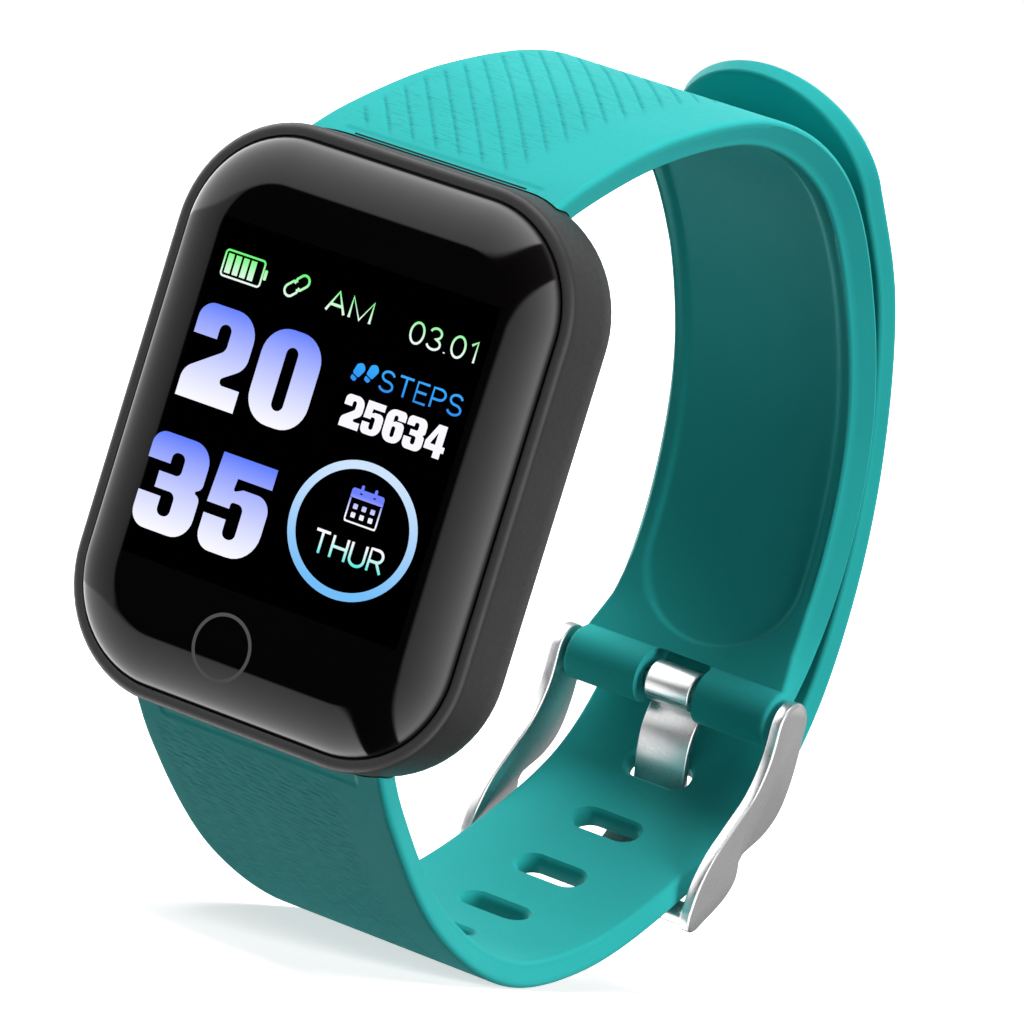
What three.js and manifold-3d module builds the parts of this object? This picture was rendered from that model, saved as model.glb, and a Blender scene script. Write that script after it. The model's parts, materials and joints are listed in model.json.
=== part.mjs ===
// Fitness tracker band, closed on its buckle, in millimetres.
// The display faces -Y, +Z points to twelve o'clock and +X to three o'clock.
// The origin is the centre of the sensor window's outer face, which rests on the wrist.
import * as THREE from "three";
import { mergeVertices } from "three/addons/utils/BufferGeometryUtils.js";
import Module from "manifold-3d";

const wasm = await Module();
wasm.setup();

// Driving dimensions
const CASE = { width: 36.6, height: 46, corner: 9.8, front: -10.4, waist: -6.2, back: -2, tuck: 2.6 };
const GLASS = { width: 34.4, height: 43.6, corner: 8.8, front: -12, seat: -10.1, edge: 2.8 };
const CAVITY = { width: 31.4, height: 40.8, corner: 7.6, front: -9, back: -4.2 };
const LEDGE = { width: 31, height: 40.4, corner: 7.4, front: -9.8 };
const ADHESIVE = { width: 34.2, height: 43.4, corner: 8.7, band: 1.25, front: -10.04, back: -9.86 };
const BACK_OPENING = { width: 25.8, height: 35.2, corner: 7.5 };
const COVER_SEAT = -3.2;
const COVER = { width: 28.6, height: 38, corner: 7.7, front: -2.8, back: -1.6 };
const SEAL = { width: 27.4, height: 36.8, corner: 7.2, wall: 0.7, front: -3.12, back: -2.86 };
const DISPLAY = { width: 28, height: 29.2, corner: 0.8, middle: 1, front: -10.95, back: -9.8 };
const BACKLIGHT = { front: -9.7, back: -8.8, wall: 0.6, floor: -8.95 };
const KEY = { z: -16.9, radius: 2.8, front: -10, back: -9.85 };
const SCREW = { x: 10.5, z: 15.2, shank: 0.5, head: 0.95, boss: 1.7, bossFront: -6.9, holeFront: -6.4 };
const CONTACT = { x: 3, z: -13.5, radius: 1.1, hole: 1.35, front: -3.1, back: -1.5 };
const BOARD = { width: 28, height: 38, corner: 6, front: -8.3, back: -7.5 };
const BATTERY = { width: 20, height: 21, middle: -2.5, front: -6.3, back: -3.5 };
const SENSOR = { radius: 5, opening: 5.3, boss: 7.5 };
const MOTOR = { y: -5.3, z: 14.2, radius: 1.8, shaft: 0.4, left: -8.2, right: -1.2 };
const STRAP_SLOT = { halfWidth: 10.6, front: -6.3, back: -4.3, tab: 0.2 };
const PIN = { y: 55.6, z: -14.4 };
const LUG = { radius: 2.3, halfLength: 10.1, notch: 2.9 };
const BAR = { tube: 0.8, bore: 0.56, halfTube: 9.4, shank: 0.46, gap: 6, tip: 11.2 };
const SPRING = { turns: 9, halfLength: 4.55, radius: 0.38, wire: 0.1 };
const HOLE = { pitch: 8.2, length: 6.2, width: 2.6, count: 9, first: 41.6 };
const ARM = { inner: 10.45, thickness: 1.2, eye: 2.2 };
const CROSSBAR = { y: 49.4, z: -31.3, width: 2, thickness: 1.4, corner: 0.5, turn: Math.PI * 0.21 };
const PRONG = { barrel: 1.75, bore: 1.1, halfWidth: 2.5, thickness: 0.7 };
const GAP = 0.3;

// Mid-lines of the straps in the YZ plane, from the case outwards
const UPPER_LINE = [
  [-7.4, 20.6], [-2, 24], [9.6, 29.1], [25, 32.3], [37.8, 29.9],
  [47.4, 22.8], [55.4, 11.5], [58.3, 0.5], [57.9, -8], [55.6, -14.4],
];
const LOWER_LINE = [
  [-7.4, -20.6], [-1.8, -25.8], [10.2, -33.6], [24.6, -37.5], [36.8, -35.6], [48.2, -29.7],
  [57.2, -22.6], [61.2, -14], [61.8, -3], [59.3, 8.8], [53, 21.7], [43.6, 31.5], [39, 37],
];
// Strap widths and thicknesses: [distance along the mid-line, half-size]
const UPPER_OUTER = [[0, 11.9], [12, 11.4], [40, 10.6], [62, 10], [110, 10]];
const UPPER_INNER = [[0, 11.6], [12, 11], [40, 9.7], [62, 9], [92, 9], [100, 10]];
const UPPER_THICK = [[0, 1.25], [110, 1.15]];
const LOWER_OUTER = [[0, 11.9], [12, 11.6], [45, 10.3], [62, 9.95], [200, 9.8]];
const LOWER_INNER = [[0, 11.6], [12, 11.2], [45, 9.9], [62, 9.6], [200, 9.5]];
const LOWER_THICK = [[0, 1.25], [40, 1.1], [60, 1], [200, 1]];
const TIP_LENGTH = 9;

// Mesh and solid conversions

function toSolid(geometry) {
  const bare = geometry.clone();
  bare.deleteAttribute("normal");
  bare.deleteAttribute("uv");
  const merged = mergeVertices(bare, 1e-4);
  return new wasm.Manifold(
    new wasm.Mesh({
      numProp: 3,
      vertProperties: new Float32Array(merged.attributes.position.array),
      triVerts: new Uint32Array(merged.index.array),
    }),
  );
}

function toGeometry(solid) {
  const mesh = solid.getMesh();
  const geometry = new THREE.BufferGeometry();
  geometry.setAttribute("position", new THREE.BufferAttribute(mesh.vertProperties, 3));
  geometry.setIndex(new THREE.BufferAttribute(mesh.triVerts, 1));
  const flat = geometry.toNonIndexed();
  flat.computeVertexNormals();
  return flat;
}

function cut(base, ...tools) {
  return tools.reduce((solid, tool) => solid.subtract(tool), base);
}

function join(base, ...others) {
  return others.reduce((solid, other) => solid.add(other), base);
}

// Basic forms. Those drawn face-on are in the XZ plane and run from the front to the back along +Y.

function roundedRectangle(width, height, radius, x = 0, z = 0) {
  const shape = new THREE.Shape();
  const right = x + width / 2;
  const left = x - width / 2;
  const top = z + height / 2;
  const bottom = z - height / 2;
  shape.moveTo(left + radius, bottom);
  shape.lineTo(right - radius, bottom);
  shape.absarc(right - radius, bottom + radius, radius, -Math.PI / 2, 0, false);
  shape.lineTo(right, top - radius);
  shape.absarc(right - radius, top - radius, radius, 0, Math.PI / 2, false);
  shape.lineTo(left + radius, top);
  shape.absarc(left + radius, top - radius, radius, Math.PI / 2, Math.PI, false);
  shape.lineTo(left, bottom + radius);
  shape.absarc(left + radius, bottom + radius, radius, Math.PI, Math.PI * 1.5, false);
  return shape;
}

function slab(shape, front, back, arcSteps = 6) {
  const geometry = new THREE.ExtrudeGeometry(shape, {
    depth: back - front,
    bevelEnabled: false,
    curveSegments: arcSteps,
  });
  geometry.rotateX(Math.PI / 2);
  geometry.translate(0, back, 0);
  return toSolid(geometry);
}

// A slab whose edge rounds over towards -Y (and its mirror image towards +Y).
function pillow(shape, middle, depth, reach, inset, arcSteps) {
  const geometry = new THREE.ExtrudeGeometry(shape, {
    depth,
    bevelEnabled: true,
    bevelThickness: reach,
    bevelSize: inset,
    bevelSegments: 4,
    curveSegments: arcSteps,
  });
  geometry.rotateX(Math.PI / 2);
  geometry.translate(0, middle + depth / 2, 0);
  return toSolid(geometry);
}

function block(left, right, front, back, bottom, top) {
  const geometry = new THREE.BoxGeometry(right - left, back - front, top - bottom);
  geometry.translate((left + right) / 2, (front + back) / 2, (bottom + top) / 2);
  return toSolid(geometry);
}

// A rod along X.
function rodX(radius, left, right, y, z, sides = 20) {
  const geometry = new THREE.CylinderGeometry(radius, radius, right - left, sides);
  geometry.rotateZ(Math.PI / 2);
  geometry.translate((left + right) / 2, y, z);
  return toSolid(geometry);
}

// A rod along Y.
function rodY(radius, front, back, x, z, sides = 20) {
  const geometry = new THREE.CylinderGeometry(radius, radius, back - front, sides);
  geometry.translate(x, (front + back) / 2, z);
  return toSolid(geometry);
}

// An outline drawn in the YZ plane, run from left to right along +X.
function sideExtrusion(shape, left, right, arcSteps = 6) {
  const geometry = new THREE.ExtrudeGeometry(shape, {
    depth: right - left,
    bevelEnabled: false,
    curveSegments: arcSteps,
  });
  geometry.rotateX(Math.PI / 2);
  geometry.rotateZ(Math.PI / 2);
  geometry.translate(left, 0, 0);
  return toSolid(geometry);
}

// Case

function caseBody(grow = 0) {
  const outline = roundedRectangle(
    CASE.width + 2 * grow,
    CASE.height + 2 * grow,
    CASE.corner + grow,
  );
  const core = roundedRectangle(
    CASE.width - 2 * CASE.tuck + 2 * grow,
    CASE.height - 2 * CASE.tuck + 2 * grow,
    CASE.corner - CASE.tuck + grow,
  );
  const wall = slab(outline, CASE.front, CASE.waist, 6);
  const rounded = pillow(core, CASE.waist, 0.1, CASE.back - CASE.waist - 0.05 + grow, CASE.tuck, 6);
  return join(wall, rounded);
}

function makeCaseShell() {
  const glassSeat = roundedRectangle(
    GLASS.width + GAP,
    GLASS.height + GAP,
    GLASS.corner + GAP / 2,
  );
  const ledgeOpening = roundedRectangle(LEDGE.width, LEDGE.height, LEDGE.corner);
  const cavity = roundedRectangle(CAVITY.width, CAVITY.height, CAVITY.corner);
  const backOpening = roundedRectangle(BACK_OPENING.width, BACK_OPENING.height, BACK_OPENING.corner);
  const coverSeat = roundedRectangle(COVER.width + 2 * GAP, COVER.height + 2 * GAP, COVER.corner + GAP);
  let shell = cut(
    caseBody(),
    slab(glassSeat, CASE.front - 1, LEDGE.front, 7),
    slab(ledgeOpening, LEDGE.front - 0.1, CAVITY.front + 0.1, 5),
    slab(cavity, CAVITY.front, CAVITY.back, 4),
    slab(backOpening, CAVITY.back - 0.1, COVER_SEAT + 0.1, 5),
    slab(coverSeat, COVER_SEAT, CASE.back + 1, 7),
  );
  for (const x of [-SCREW.x, SCREW.x]) {
    for (const z of [-SCREW.z, SCREW.z]) {
      shell = join(shell, rodY(SCREW.boss, SCREW.bossFront, COVER_SEAT, x, z));
      shell = cut(shell, rodY(SCREW.shank + GAP / 2, SCREW.holeFront, COVER_SEAT + 0.2, x, z, 12));
    }
  }
  for (const side of [-1, 1]) {
    const near = side > 0 ? 19 : -24;
    shell = cut(
      shell,
      block(
        -STRAP_SLOT.halfWidth,
        STRAP_SLOT.halfWidth,
        STRAP_SLOT.front,
        STRAP_SLOT.back,
        near,
        near + 5,
      ),
    );
  }
  return shell;
}

function makeTouchGlass() {
  const flat = roundedRectangle(
    GLASS.width - 2 * GLASS.edge,
    GLASS.height - 2 * GLASS.edge,
    GLASS.corner - GLASS.edge,
  );
  const crown = pillow(flat, GLASS.seat, 0.1, GLASS.seat - GLASS.front - 0.05, GLASS.edge, 8);
  const behind = block(-30, 30, GLASS.seat, 0, -30, 30);
  const pocket = roundedRectangle(DISPLAY.width + 0.4, DISPLAY.height + 0.4, 1, 0, DISPLAY.middle);
  return cut(crown, behind, slab(pocket, -11.05, GLASS.seat + 1));
}

function makeGlassAdhesive() {
  const band = roundedRectangle(ADHESIVE.width, ADHESIVE.height, ADHESIVE.corner);
  const width = ADHESIVE.width - 2 * ADHESIVE.band;
  const height = ADHESIVE.height - 2 * ADHESIVE.band;
  band.holes.push(roundedRectangle(width, height, ADHESIVE.corner - ADHESIVE.band));
  return slab(band, ADHESIVE.front, ADHESIVE.back);
}

function makeDisplayPanel() {
  const outline = roundedRectangle(DISPLAY.width, DISPLAY.height, DISPLAY.corner, 0, DISPLAY.middle);
  return slab(outline, DISPLAY.front, DISPLAY.back);
}

function makeDisplayBacklight() {
  const tray = roundedRectangle(DISPLAY.width, DISPLAY.height, DISPLAY.corner, 0, DISPLAY.middle);
  const width = DISPLAY.width - 2 * BACKLIGHT.wall;
  const height = DISPLAY.height - 2 * BACKLIGHT.wall;
  const recess = roundedRectangle(width, height, DISPLAY.corner - 0.3, 0, DISPLAY.middle);
  return cut(slab(tray, BACKLIGHT.front, BACKLIGHT.back), slab(recess, BACKLIGHT.floor, -8));
}

function makeDisplayRibbon() {
  // A flat tail that leaves the panel's lower edge and folds back to the board.
  const path = new THREE.Shape();
  path.moveTo(-9.6, -13.75);
  path.lineTo(-9.6, -14.2);
  path.absarc(-9, -14.2, 0.6, Math.PI, Math.PI * 1.5, false);
  path.lineTo(-8.75, -14.8);
  path.lineTo(-8.75, -14.65);
  path.lineTo(-9, -14.65);
  path.absarc(-9, -14.2, 0.45, Math.PI * 1.5, Math.PI, true);
  path.lineTo(-9.45, -13.75);
  return sideExtrusion(path, 2, 9);
}

function makeDisplayConnector() {
  return block(2.4, 8.6, -8.66, -8.36, -16.6, -14.9);
}

function makeTouchKeyPad() {
  return rodY(KEY.radius, KEY.front, KEY.back, 0, KEY.z, 24);
}

// Electronics

function makeMainBoard() {
  const outline = roundedRectangle(BOARD.width, BOARD.height, BOARD.corner);
  return slab(outline, BOARD.front, BOARD.back, 5);
}

function chip(width, height, depth, x, z) {
  const front = BOARD.back + 0.04;
  return block(x - width / 2, x + width / 2, front, front + depth, z - height / 2, z + height / 2);
}

function makeBatteryCell() {
  const outline = roundedRectangle(BATTERY.width, BATTERY.height, 0.9, 0, BATTERY.middle);
  return slab(outline, BATTERY.front, BATTERY.back, 4);
}

function makeMotorCase() {
  const can = rodX(MOTOR.radius, MOTOR.left, MOTOR.right, MOTOR.y, MOTOR.z, 24);
  const bore = rodX(MOTOR.shaft + 0.2, MOTOR.left + 1, MOTOR.right + 1, MOTOR.y, MOTOR.z, 12);
  return cut(can, bore);
}

function makeMotorShaft() {
  return rodX(MOTOR.shaft, MOTOR.left + 1.2, MOTOR.right + 4.2, MOTOR.y, MOTOR.z, 12);
}

function makeMotorWeight() {
  const half = new THREE.Shape();
  half.absarc(MOTOR.y, MOTOR.z, 1.7, Math.PI, Math.PI * 2, false);
  const collar = rodX(0.95, MOTOR.right + 0.8, MOTOR.right + 3.6, MOTOR.y, MOTOR.z, 16);
  const bore = rodX(MOTOR.shaft + 0.1, MOTOR.right, MOTOR.right + 5, MOTOR.y, MOTOR.z, 12);
  return cut(join(sideExtrusion(half, MOTOR.right + 0.8, MOTOR.right + 3.6, 10), collar), bore);
}

// Sensor and back

function makeSensorRibbon() {
  // From the sensor board's edge, round the battery's side, to the main board.
  const path = new THREE.Shape();
  path.moveTo(6.7, -3.2);
  path.lineTo(11.2, -3.2);
  path.lineTo(11.2, -7.4);
  path.lineTo(11.05, -7.4);
  path.lineTo(11.05, -3.35);
  path.lineTo(6.7, -3.35);
  const geometry = new THREE.ExtrudeGeometry(path, { depth: 4, bevelEnabled: false });
  geometry.translate(0, 0, -2);
  return toSolid(geometry);
}

function makeLightBarrier() {
  return cut(
    rodY(SENSOR.radius - 0.2, -2.8, -1.1, 0, 0, 28),
    block(-4.1, -2.1, -4, 0, -0.9, 0.9),
    block(2.1, 4.1, -4, 0, -0.9, 0.9),
    block(-1.5, 1.5, -4, 0, -1.2, 1.2),
  );
}

function makeRearCover() {
  const plate = slab(roundedRectangle(COVER.width, COVER.height, COVER.corner), COVER.front, COVER.back, 7);
  let cover = join(plate, rodY(SENSOR.boss, COVER.back - 0.3, -0.4, 0, 0, 32));
  cover = cut(cover, rodY(SENSOR.opening, COVER.front - 1, 1, 0, 0, 32));
  for (const x of [-SCREW.x, SCREW.x]) {
    for (const z of [-SCREW.z, SCREW.z]) {
      cover = cut(cover, rodY(SCREW.shank + 0.2, -4, 0, x, z, 14));
      cover = cut(cover, rodY(SCREW.head + 0.15, -2.25, 0, x, z, 18));
    }
  }
  for (const x of [-CONTACT.x, CONTACT.x]) {
    cover = cut(cover, rodY(CONTACT.hole, -4, 0, x, CONTACT.z, 18));
  }
  return cover;
}

function makeContact(x) {
  return rodY(CONTACT.radius, CONTACT.front, CONTACT.back, x, CONTACT.z, 20);
}

function makeRearSeal() {
  const ring = roundedRectangle(SEAL.width, SEAL.height, SEAL.corner);
  const inside = SEAL.corner - SEAL.wall;
  ring.holes.push(
    roundedRectangle(SEAL.width - 2 * SEAL.wall, SEAL.height - 2 * SEAL.wall, inside),
  );
  let seal = slab(ring, SEAL.front, SEAL.back, 5);
  for (const x of [-SCREW.x, SCREW.x]) {
    for (const z of [-SCREW.z, SCREW.z]) {
      seal = cut(seal, rodY(SCREW.shank + 0.4, -4, -2, x, z, 14));
    }
  }
  return seal;
}

function makeScrew(x, z) {
  const shank = rodY(SCREW.shank, -6.2, -2.1, x, z, 12);
  const head = rodY(SCREW.head, -2.2, -1.65, x, z, 18);
  const slotWidth = 0.14;
  const slotDepth = -1.95;
  return cut(
    join(shank, head),
    block(x - 0.6, x + 0.6, slotDepth, 0, z - slotWidth, z + slotWidth),
    block(x - slotWidth, x + slotWidth, slotDepth, 0, z - 0.6, z + 0.6),
  );
}

// Straps

function valueAt(table, distance) {
  for (let i = 1; i < table.length; i += 1) {
    const [start, from] = table[i - 1];
    const [end, to] = table[i];
    if (distance <= end) {
      return from + ((to - from) * (distance - start)) / (end - start);
    }
  }
  return table[table.length - 1][1];
}

function strapLine(points) {
  return new THREE.CatmullRomCurve3(
    points.map(([y, z]) => new THREE.Vector3(0, y, z)),
    false,
    "centripetal",
  );
}

// Outward normal of a mid-line: across the line, away from the wrist.
function outward(line, fraction, turn) {
  const along = line.getTangentAt(fraction);
  return new THREE.Vector3(0, -turn * along.z, turn * along.y);
}

// A strap is a long box bent along its mid-line, wider on the outer face than on the inner one.
function makeStrapBody(points, outerWidth, innerWidth, thickness, turn, steps, tipLength) {
  const line = strapLine(points);
  const length = line.getLength();
  const geometry = new THREE.BoxGeometry(2, 2, 1, 2, 1, steps);
  const position = geometry.attributes.position;
  for (let i = 0; i < position.count; i += 1) {
    const across = position.getX(i);
    const level = position.getY(i);
    const linear = 0.5 - position.getZ(i);
    const fraction = tipLength > 0 ? linear + 0.35 * linear * (1 - linear) : linear;
    const distance = fraction * length;
    let half = level > 0 ? valueAt(outerWidth, distance) : valueAt(innerWidth, distance);
    const intoTip = (distance - length + tipLength) / tipLength;
    if (tipLength > 0 && intoTip > 0) {
      half *= Math.sqrt(Math.max(1 - intoTip * intoTip, 0.01));
    }
    const rise = level * valueAt(thickness, distance);
    const spot = line.getPointAt(fraction);
    spot.addScaledVector(outward(line, fraction, turn), rise);
    position.setXYZ(i, across * half * turn, spot.y, spot.z);
  }
  return toSolid(geometry);
}

// The strap's root: trimmed to the case, with a tab that enters the case wall.
function fitToCase(strap, side) {
  const trimmed = cut(strap, caseBody(GAP / 2), block(-20, 20, -20, CASE.waist, -30, 30));
  const near = side > 0 ? 21.2 : -23.9;
  const far = near + 2.7;
  const tab = block(
    -STRAP_SLOT.halfWidth + 0.3,
    STRAP_SLOT.halfWidth - 0.3,
    STRAP_SLOT.front + STRAP_SLOT.tab,
    STRAP_SLOT.back - STRAP_SLOT.tab,
    near,
    far,
  );
  const pocketNear = side > 0 ? 21 : -23.6;
  const pocket = block(-8.15, 8.15, -5.75, -4.85, pocketNear, pocketNear + 2.6);
  return cut(join(trimmed, tab), pocket);
}

function makeStrapInsert(side) {
  const plate = side > 0 ? [20.1, 23.3] : [-23.3, -20.1];
  const hook = side > 0 ? [19.7, 20.3] : [-20.3, -19.7];
  return join(
    block(-8, 8, -5.6, -5, plate[0], plate[1]),
    block(-9, 9, -6.6, -4.35, hook[0], hook[1]),
  );
}

function makeUpperStrap() {
  const body = makeStrapBody(UPPER_LINE, UPPER_OUTER, UPPER_INNER, UPPER_THICK, 1, 40, 0);
  const lug = rodX(LUG.radius, -LUG.halfLength, LUG.halfLength, PIN.y, PIN.z, 28);
  const notch = block(-LUG.notch, LUG.notch, PIN.y - 4, PIN.y + 4, PIN.z - 4, PIN.z + 2.6);
  const bore = rodX(BAR.tube + 0.15, -12, 12, PIN.y, PIN.z, 20);
  return cut(fitToCase(join(body, lug), 1), notch, bore);
}

function slotCutter(line, distance) {
  const fraction = distance / line.getLength();
  const spot = line.getPointAt(fraction);
  const along = line.getTangentAt(fraction);
  const radius = HOLE.width / 2;
  const geometry = new THREE.ExtrudeGeometry(
    roundedRectangle(HOLE.length, HOLE.width, radius - 0.01),
    { depth: 6, bevelEnabled: false, curveSegments: 4 },
  );
  geometry.translate(0, 0, -3);
  geometry.rotateX(Math.atan2(along.z, along.y));
  geometry.translate(0, spot.y, spot.z);
  return toSolid(geometry);
}

function makeLowerStrap() {
  const line = strapLine(LOWER_LINE);
  const body = makeStrapBody(
    LOWER_LINE, LOWER_OUTER, LOWER_INNER, LOWER_THICK, -1, 56, TIP_LENGTH,
  );
  let strap = fitToCase(body, -1);
  for (let i = 0; i < HOLE.count; i += 1) {
    strap = cut(strap, slotCutter(line, HOLE.first + i * HOLE.pitch));
  }
  return strap;
}

// Buckle

function throughPoints(shape, points) {
  shape.splineThru(points.map(([y, z]) => new THREE.Vector2(y, z)));
}

function armOutline() {
  // Round eye at the pin, then a curve that swings out and back, with a small step before the crossbar.
  const shape = new THREE.Shape();
  shape.moveTo(PIN.y + ARM.eye, PIN.z);
  shape.absarc(PIN.y, PIN.z, ARM.eye, 0, Math.PI, false);
  throughPoints(shape, [[53.5, -17.6], [52.6, -20.6], [50.6, -23.6], [48.9, -26.2], [48.1, -28.8]]);
  shape.lineTo(47.9, -31);
  shape.lineTo(48.9, -32.7);
  throughPoints(shape, [[51.6, -30.9], [53.3, -29.2], [53.9, -27.4], [53.6, -26.2]]);
  throughPoints(shape, [[54.3, -25.2], [56.4, -23.6], [57.9, -21.6], [58.3, -18.4]]);
  shape.lineTo(PIN.y + ARM.eye, PIN.z);
  return shape;
}

function makeBuckleFrame() {
  const outline = armOutline();
  const outer = ARM.inner + ARM.thickness;
  const leftArm = sideExtrusion(outline, -outer, -ARM.inner, 5);
  const rightArm = sideExtrusion(outline, ARM.inner, outer, 5);
  const bar = new THREE.ExtrudeGeometry(
    roundedRectangle(CROSSBAR.width, CROSSBAR.thickness, CROSSBAR.corner),
    { depth: 2 * outer - 1, bevelEnabled: false, curveSegments: 3 },
  );
  bar.rotateX(Math.PI / 2);
  bar.rotateZ(Math.PI / 2);
  bar.rotateX(CROSSBAR.turn);
  bar.translate(-outer + 0.5, CROSSBAR.y, CROSSBAR.z);
  const tipHole = rodX(BAR.shank + 0.12, -BAR.tip - 0.15, BAR.tip + 0.15, PIN.y, PIN.z, 14);
  return cut(join(leftArm, rightArm, toSolid(bar)), tipHole);
}

// Mid-line of the prong in the YZ plane, from the barrel through its slot to the crossbar
const PRONG_LINE = [
  [57, -15.6], [56.5, -18.4], [56.9, -20.6], [57.9, -23.1], [58.1, -24.8], [56.7, -26.9],
  [53.8, -29.3], [52.2, -30.2],
];

function makeBuckleProng() {
  const line = strapLine(PRONG_LINE);
  const geometry = new THREE.BoxGeometry(2, 2, 1, 2, 1, 22);
  const position = geometry.attributes.position;
  for (let i = 0; i < position.count; i += 1) {
    const fraction = 0.5 - position.getZ(i);
    const taper = 1 - 0.3 * Math.max(0, fraction - 0.7) / 0.3;
    const spot = line.getPointAt(fraction);
    const rise = (position.getY(i) * PRONG.thickness) / 2;
    spot.addScaledVector(outward(line, fraction, -1), rise);
    position.setXYZ(i, -position.getX(i) * PRONG.halfWidth * taper, spot.y, spot.z);
  }
  const barrel = rodX(PRONG.barrel, -PRONG.halfWidth + 0.3, PRONG.halfWidth - 0.3, PIN.y, PIN.z, 24);
  const bore = rodX(PRONG.bore, -PRONG.halfWidth - 1, PRONG.halfWidth + 1, PIN.y, PIN.z, 20);
  return cut(join(toSolid(geometry), barrel), bore);
}

function makeSpringBarTube() {
  const tube = rodX(BAR.tube, -BAR.halfTube, BAR.halfTube, PIN.y, PIN.z, 18);
  return cut(tube, rodX(BAR.bore, -BAR.halfTube - 1, BAR.halfTube + 1, PIN.y, PIN.z, 16));
}

function makeSpringBarPin(side) {
  const ends = [side * BAR.gap, side * BAR.tip].sort((a, b) => a - b);
  return rodX(BAR.shank, ends[0], ends[1], PIN.y, PIN.z, 14);
}

class Helix extends THREE.Curve {
  getPoint(t, target = new THREE.Vector3()) {
    const angle = t * SPRING.turns * Math.PI * 2;
    return target.set(
      SPRING.halfLength * (2 * t - 1),
      PIN.y + SPRING.radius * Math.cos(angle),
      PIN.z + SPRING.radius * Math.sin(angle),
    );
  }
}

function makeSpring() {
  const wire = new THREE.Shape();
  wire.absarc(0, 0, SPRING.wire, 0, Math.PI * 2, false);
  const geometry = new THREE.ExtrudeGeometry(wire, {
    steps: SPRING.turns * 6,
    curveSegments: 2,
    extrudePath: new Helix(),
  });
  return toSolid(geometry);
}

// Assembly

const MATERIALS = {
  caseBlack: { color: 0x1d1d1f, roughness: 0.55, metalness: 0 },
  glassBlack: { color: 0x08080a, roughness: 0.05, metalness: 0 },
  adhesive: { color: 0x303030, roughness: 0.8, metalness: 0 },
  display: { color: 0x10141c, roughness: 0.15, metalness: 0 },
  steel: { color: 0xb8bcc0, roughness: 0.3, metalness: 1 },
  ribbon: { color: 0xb5722c, roughness: 0.5, metalness: 0 },
  copper: { color: 0xc9823f, roughness: 0.35, metalness: 1 },
  board: { color: 0x14513a, roughness: 0.6, metalness: 0 },
  chip: { color: 0x18181a, roughness: 0.5, metalness: 0 },
  ceramic: { color: 0xd9d4c4, roughness: 0.5, metalness: 0 },
  cell: { color: 0xc3c7cc, roughness: 0.4, metalness: 0.6 },
  lens: { color: 0x101814, roughness: 0.05, metalness: 0 },
  led: { color: 0x5fd67a, roughness: 0.3, metalness: 0 },
  rubber: { color: 0x2a2a2c, roughness: 0.9, metalness: 0 },
  gold: { color: 0xd6ab4e, roughness: 0.25, metalness: 1 },
  silicone: { color: 0x3fc0b8, roughness: 0.6, metalness: 0 },
  satin: { color: 0xc4c6c8, roughness: 0.35, metalness: 1 },
};

const root = new THREE.Group();

function place(name, solid, finish) {
  const material = new THREE.MeshStandardMaterial(MATERIALS[finish]);
  const mesh = new THREE.Mesh(toGeometry(solid), material);
  mesh.name = name;
  root.add(mesh);
}

place("case_shell", makeCaseShell(), "caseBlack");
place("touch_glass", makeTouchGlass(), "glassBlack");
place("glass_adhesive", makeGlassAdhesive(), "adhesive");
place("display_panel", makeDisplayPanel(), "display");
place("display_backlight", makeDisplayBacklight(), "ceramic");
place("display_ribbon", makeDisplayRibbon(), "ribbon");
place("display_connector", makeDisplayConnector(), "chip");
place("touch_key_pad", makeTouchKeyPad(), "copper");

place("main_board", makeMainBoard(), "board");
place("processor", chip(5.5, 5.5, 0.9, 5, 8), "chip");
place("flash_memory", chip(4, 3, 0.7, 5, 2), "chip");
place("motion_sensor", chip(2.5, 2.5, 0.8, -6, 6), "chip");
place("charge_controller", chip(2.2, 2.2, 0.6, -6, -10), "chip");
place("clock_crystal", chip(3.2, 1.5, 0.7, -1, 8), "steel");
place("antenna", chip(5, 1.8, 0.9, 4, 17.4), "ceramic");
place("battery_cell", makeBatteryCell(), "cell");
place("battery_protection_board", block(-8, 8, -5.3, -4.5, 8.4, 11), "board");

place("motor_case", makeMotorCase(), "steel");
place("motor_shaft", makeMotorShaft(), "steel");
place("motor_weight", makeMotorWeight(), "steel");

place("sensor_board", slab(roundedRectangle(13, 13, 2), -3.35, -2.95), "board");
place("sensor_ribbon", makeSensorRibbon(), "ribbon");
place("sensor_led_left", block(-3.9, -2.3, -2.85, -2.25, -0.5, 0.5), "led");
place("sensor_led_right", block(2.3, 3.9, -2.85, -2.25, -0.5, 0.5), "led");
place("photodiode", block(-1.2, 1.2, -2.85, -2.35, -0.95, 0.95), "chip");
place("light_barrier", makeLightBarrier(), "rubber");
place("sensor_window", rodY(SENSOR.radius, -0.98, 0, 0, 0, 40), "lens");
place("rear_cover", makeRearCover(), "caseBlack");
place("rear_seal", makeRearSeal(), "rubber");
[[-1, 1], [1, 1], [-1, -1], [1, -1]].forEach(([x, z], i) => {
  place(`rear_screw_${i + 1}`, makeScrew(x * SCREW.x, z * SCREW.z), "steel");
});
place("charge_contact_left", makeContact(-CONTACT.x), "gold");
place("charge_contact_right", makeContact(CONTACT.x), "gold");

place("upper_strap", makeUpperStrap(), "silicone");
place("lower_strap", makeLowerStrap(), "silicone");
place("strap_insert_upper", makeStrapInsert(1), "chip");
place("strap_insert_lower", makeStrapInsert(-1), "chip");

place("buckle_frame", makeBuckleFrame(), "satin");
place("buckle_prong", makeBuckleProng(), "satin");
place("spring_bar_tube", makeSpringBarTube(), "steel");
place("spring_bar_pin_left", makeSpringBarPin(-1), "steel");
place("spring_bar_pin_right", makeSpringBarPin(1), "steel");
place("spring_bar_spring", makeSpring(), "steel");

export default root;
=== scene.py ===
"""Looks of the fitness tracker band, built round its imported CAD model. Lengths are in mm."""

import json
import math

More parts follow.
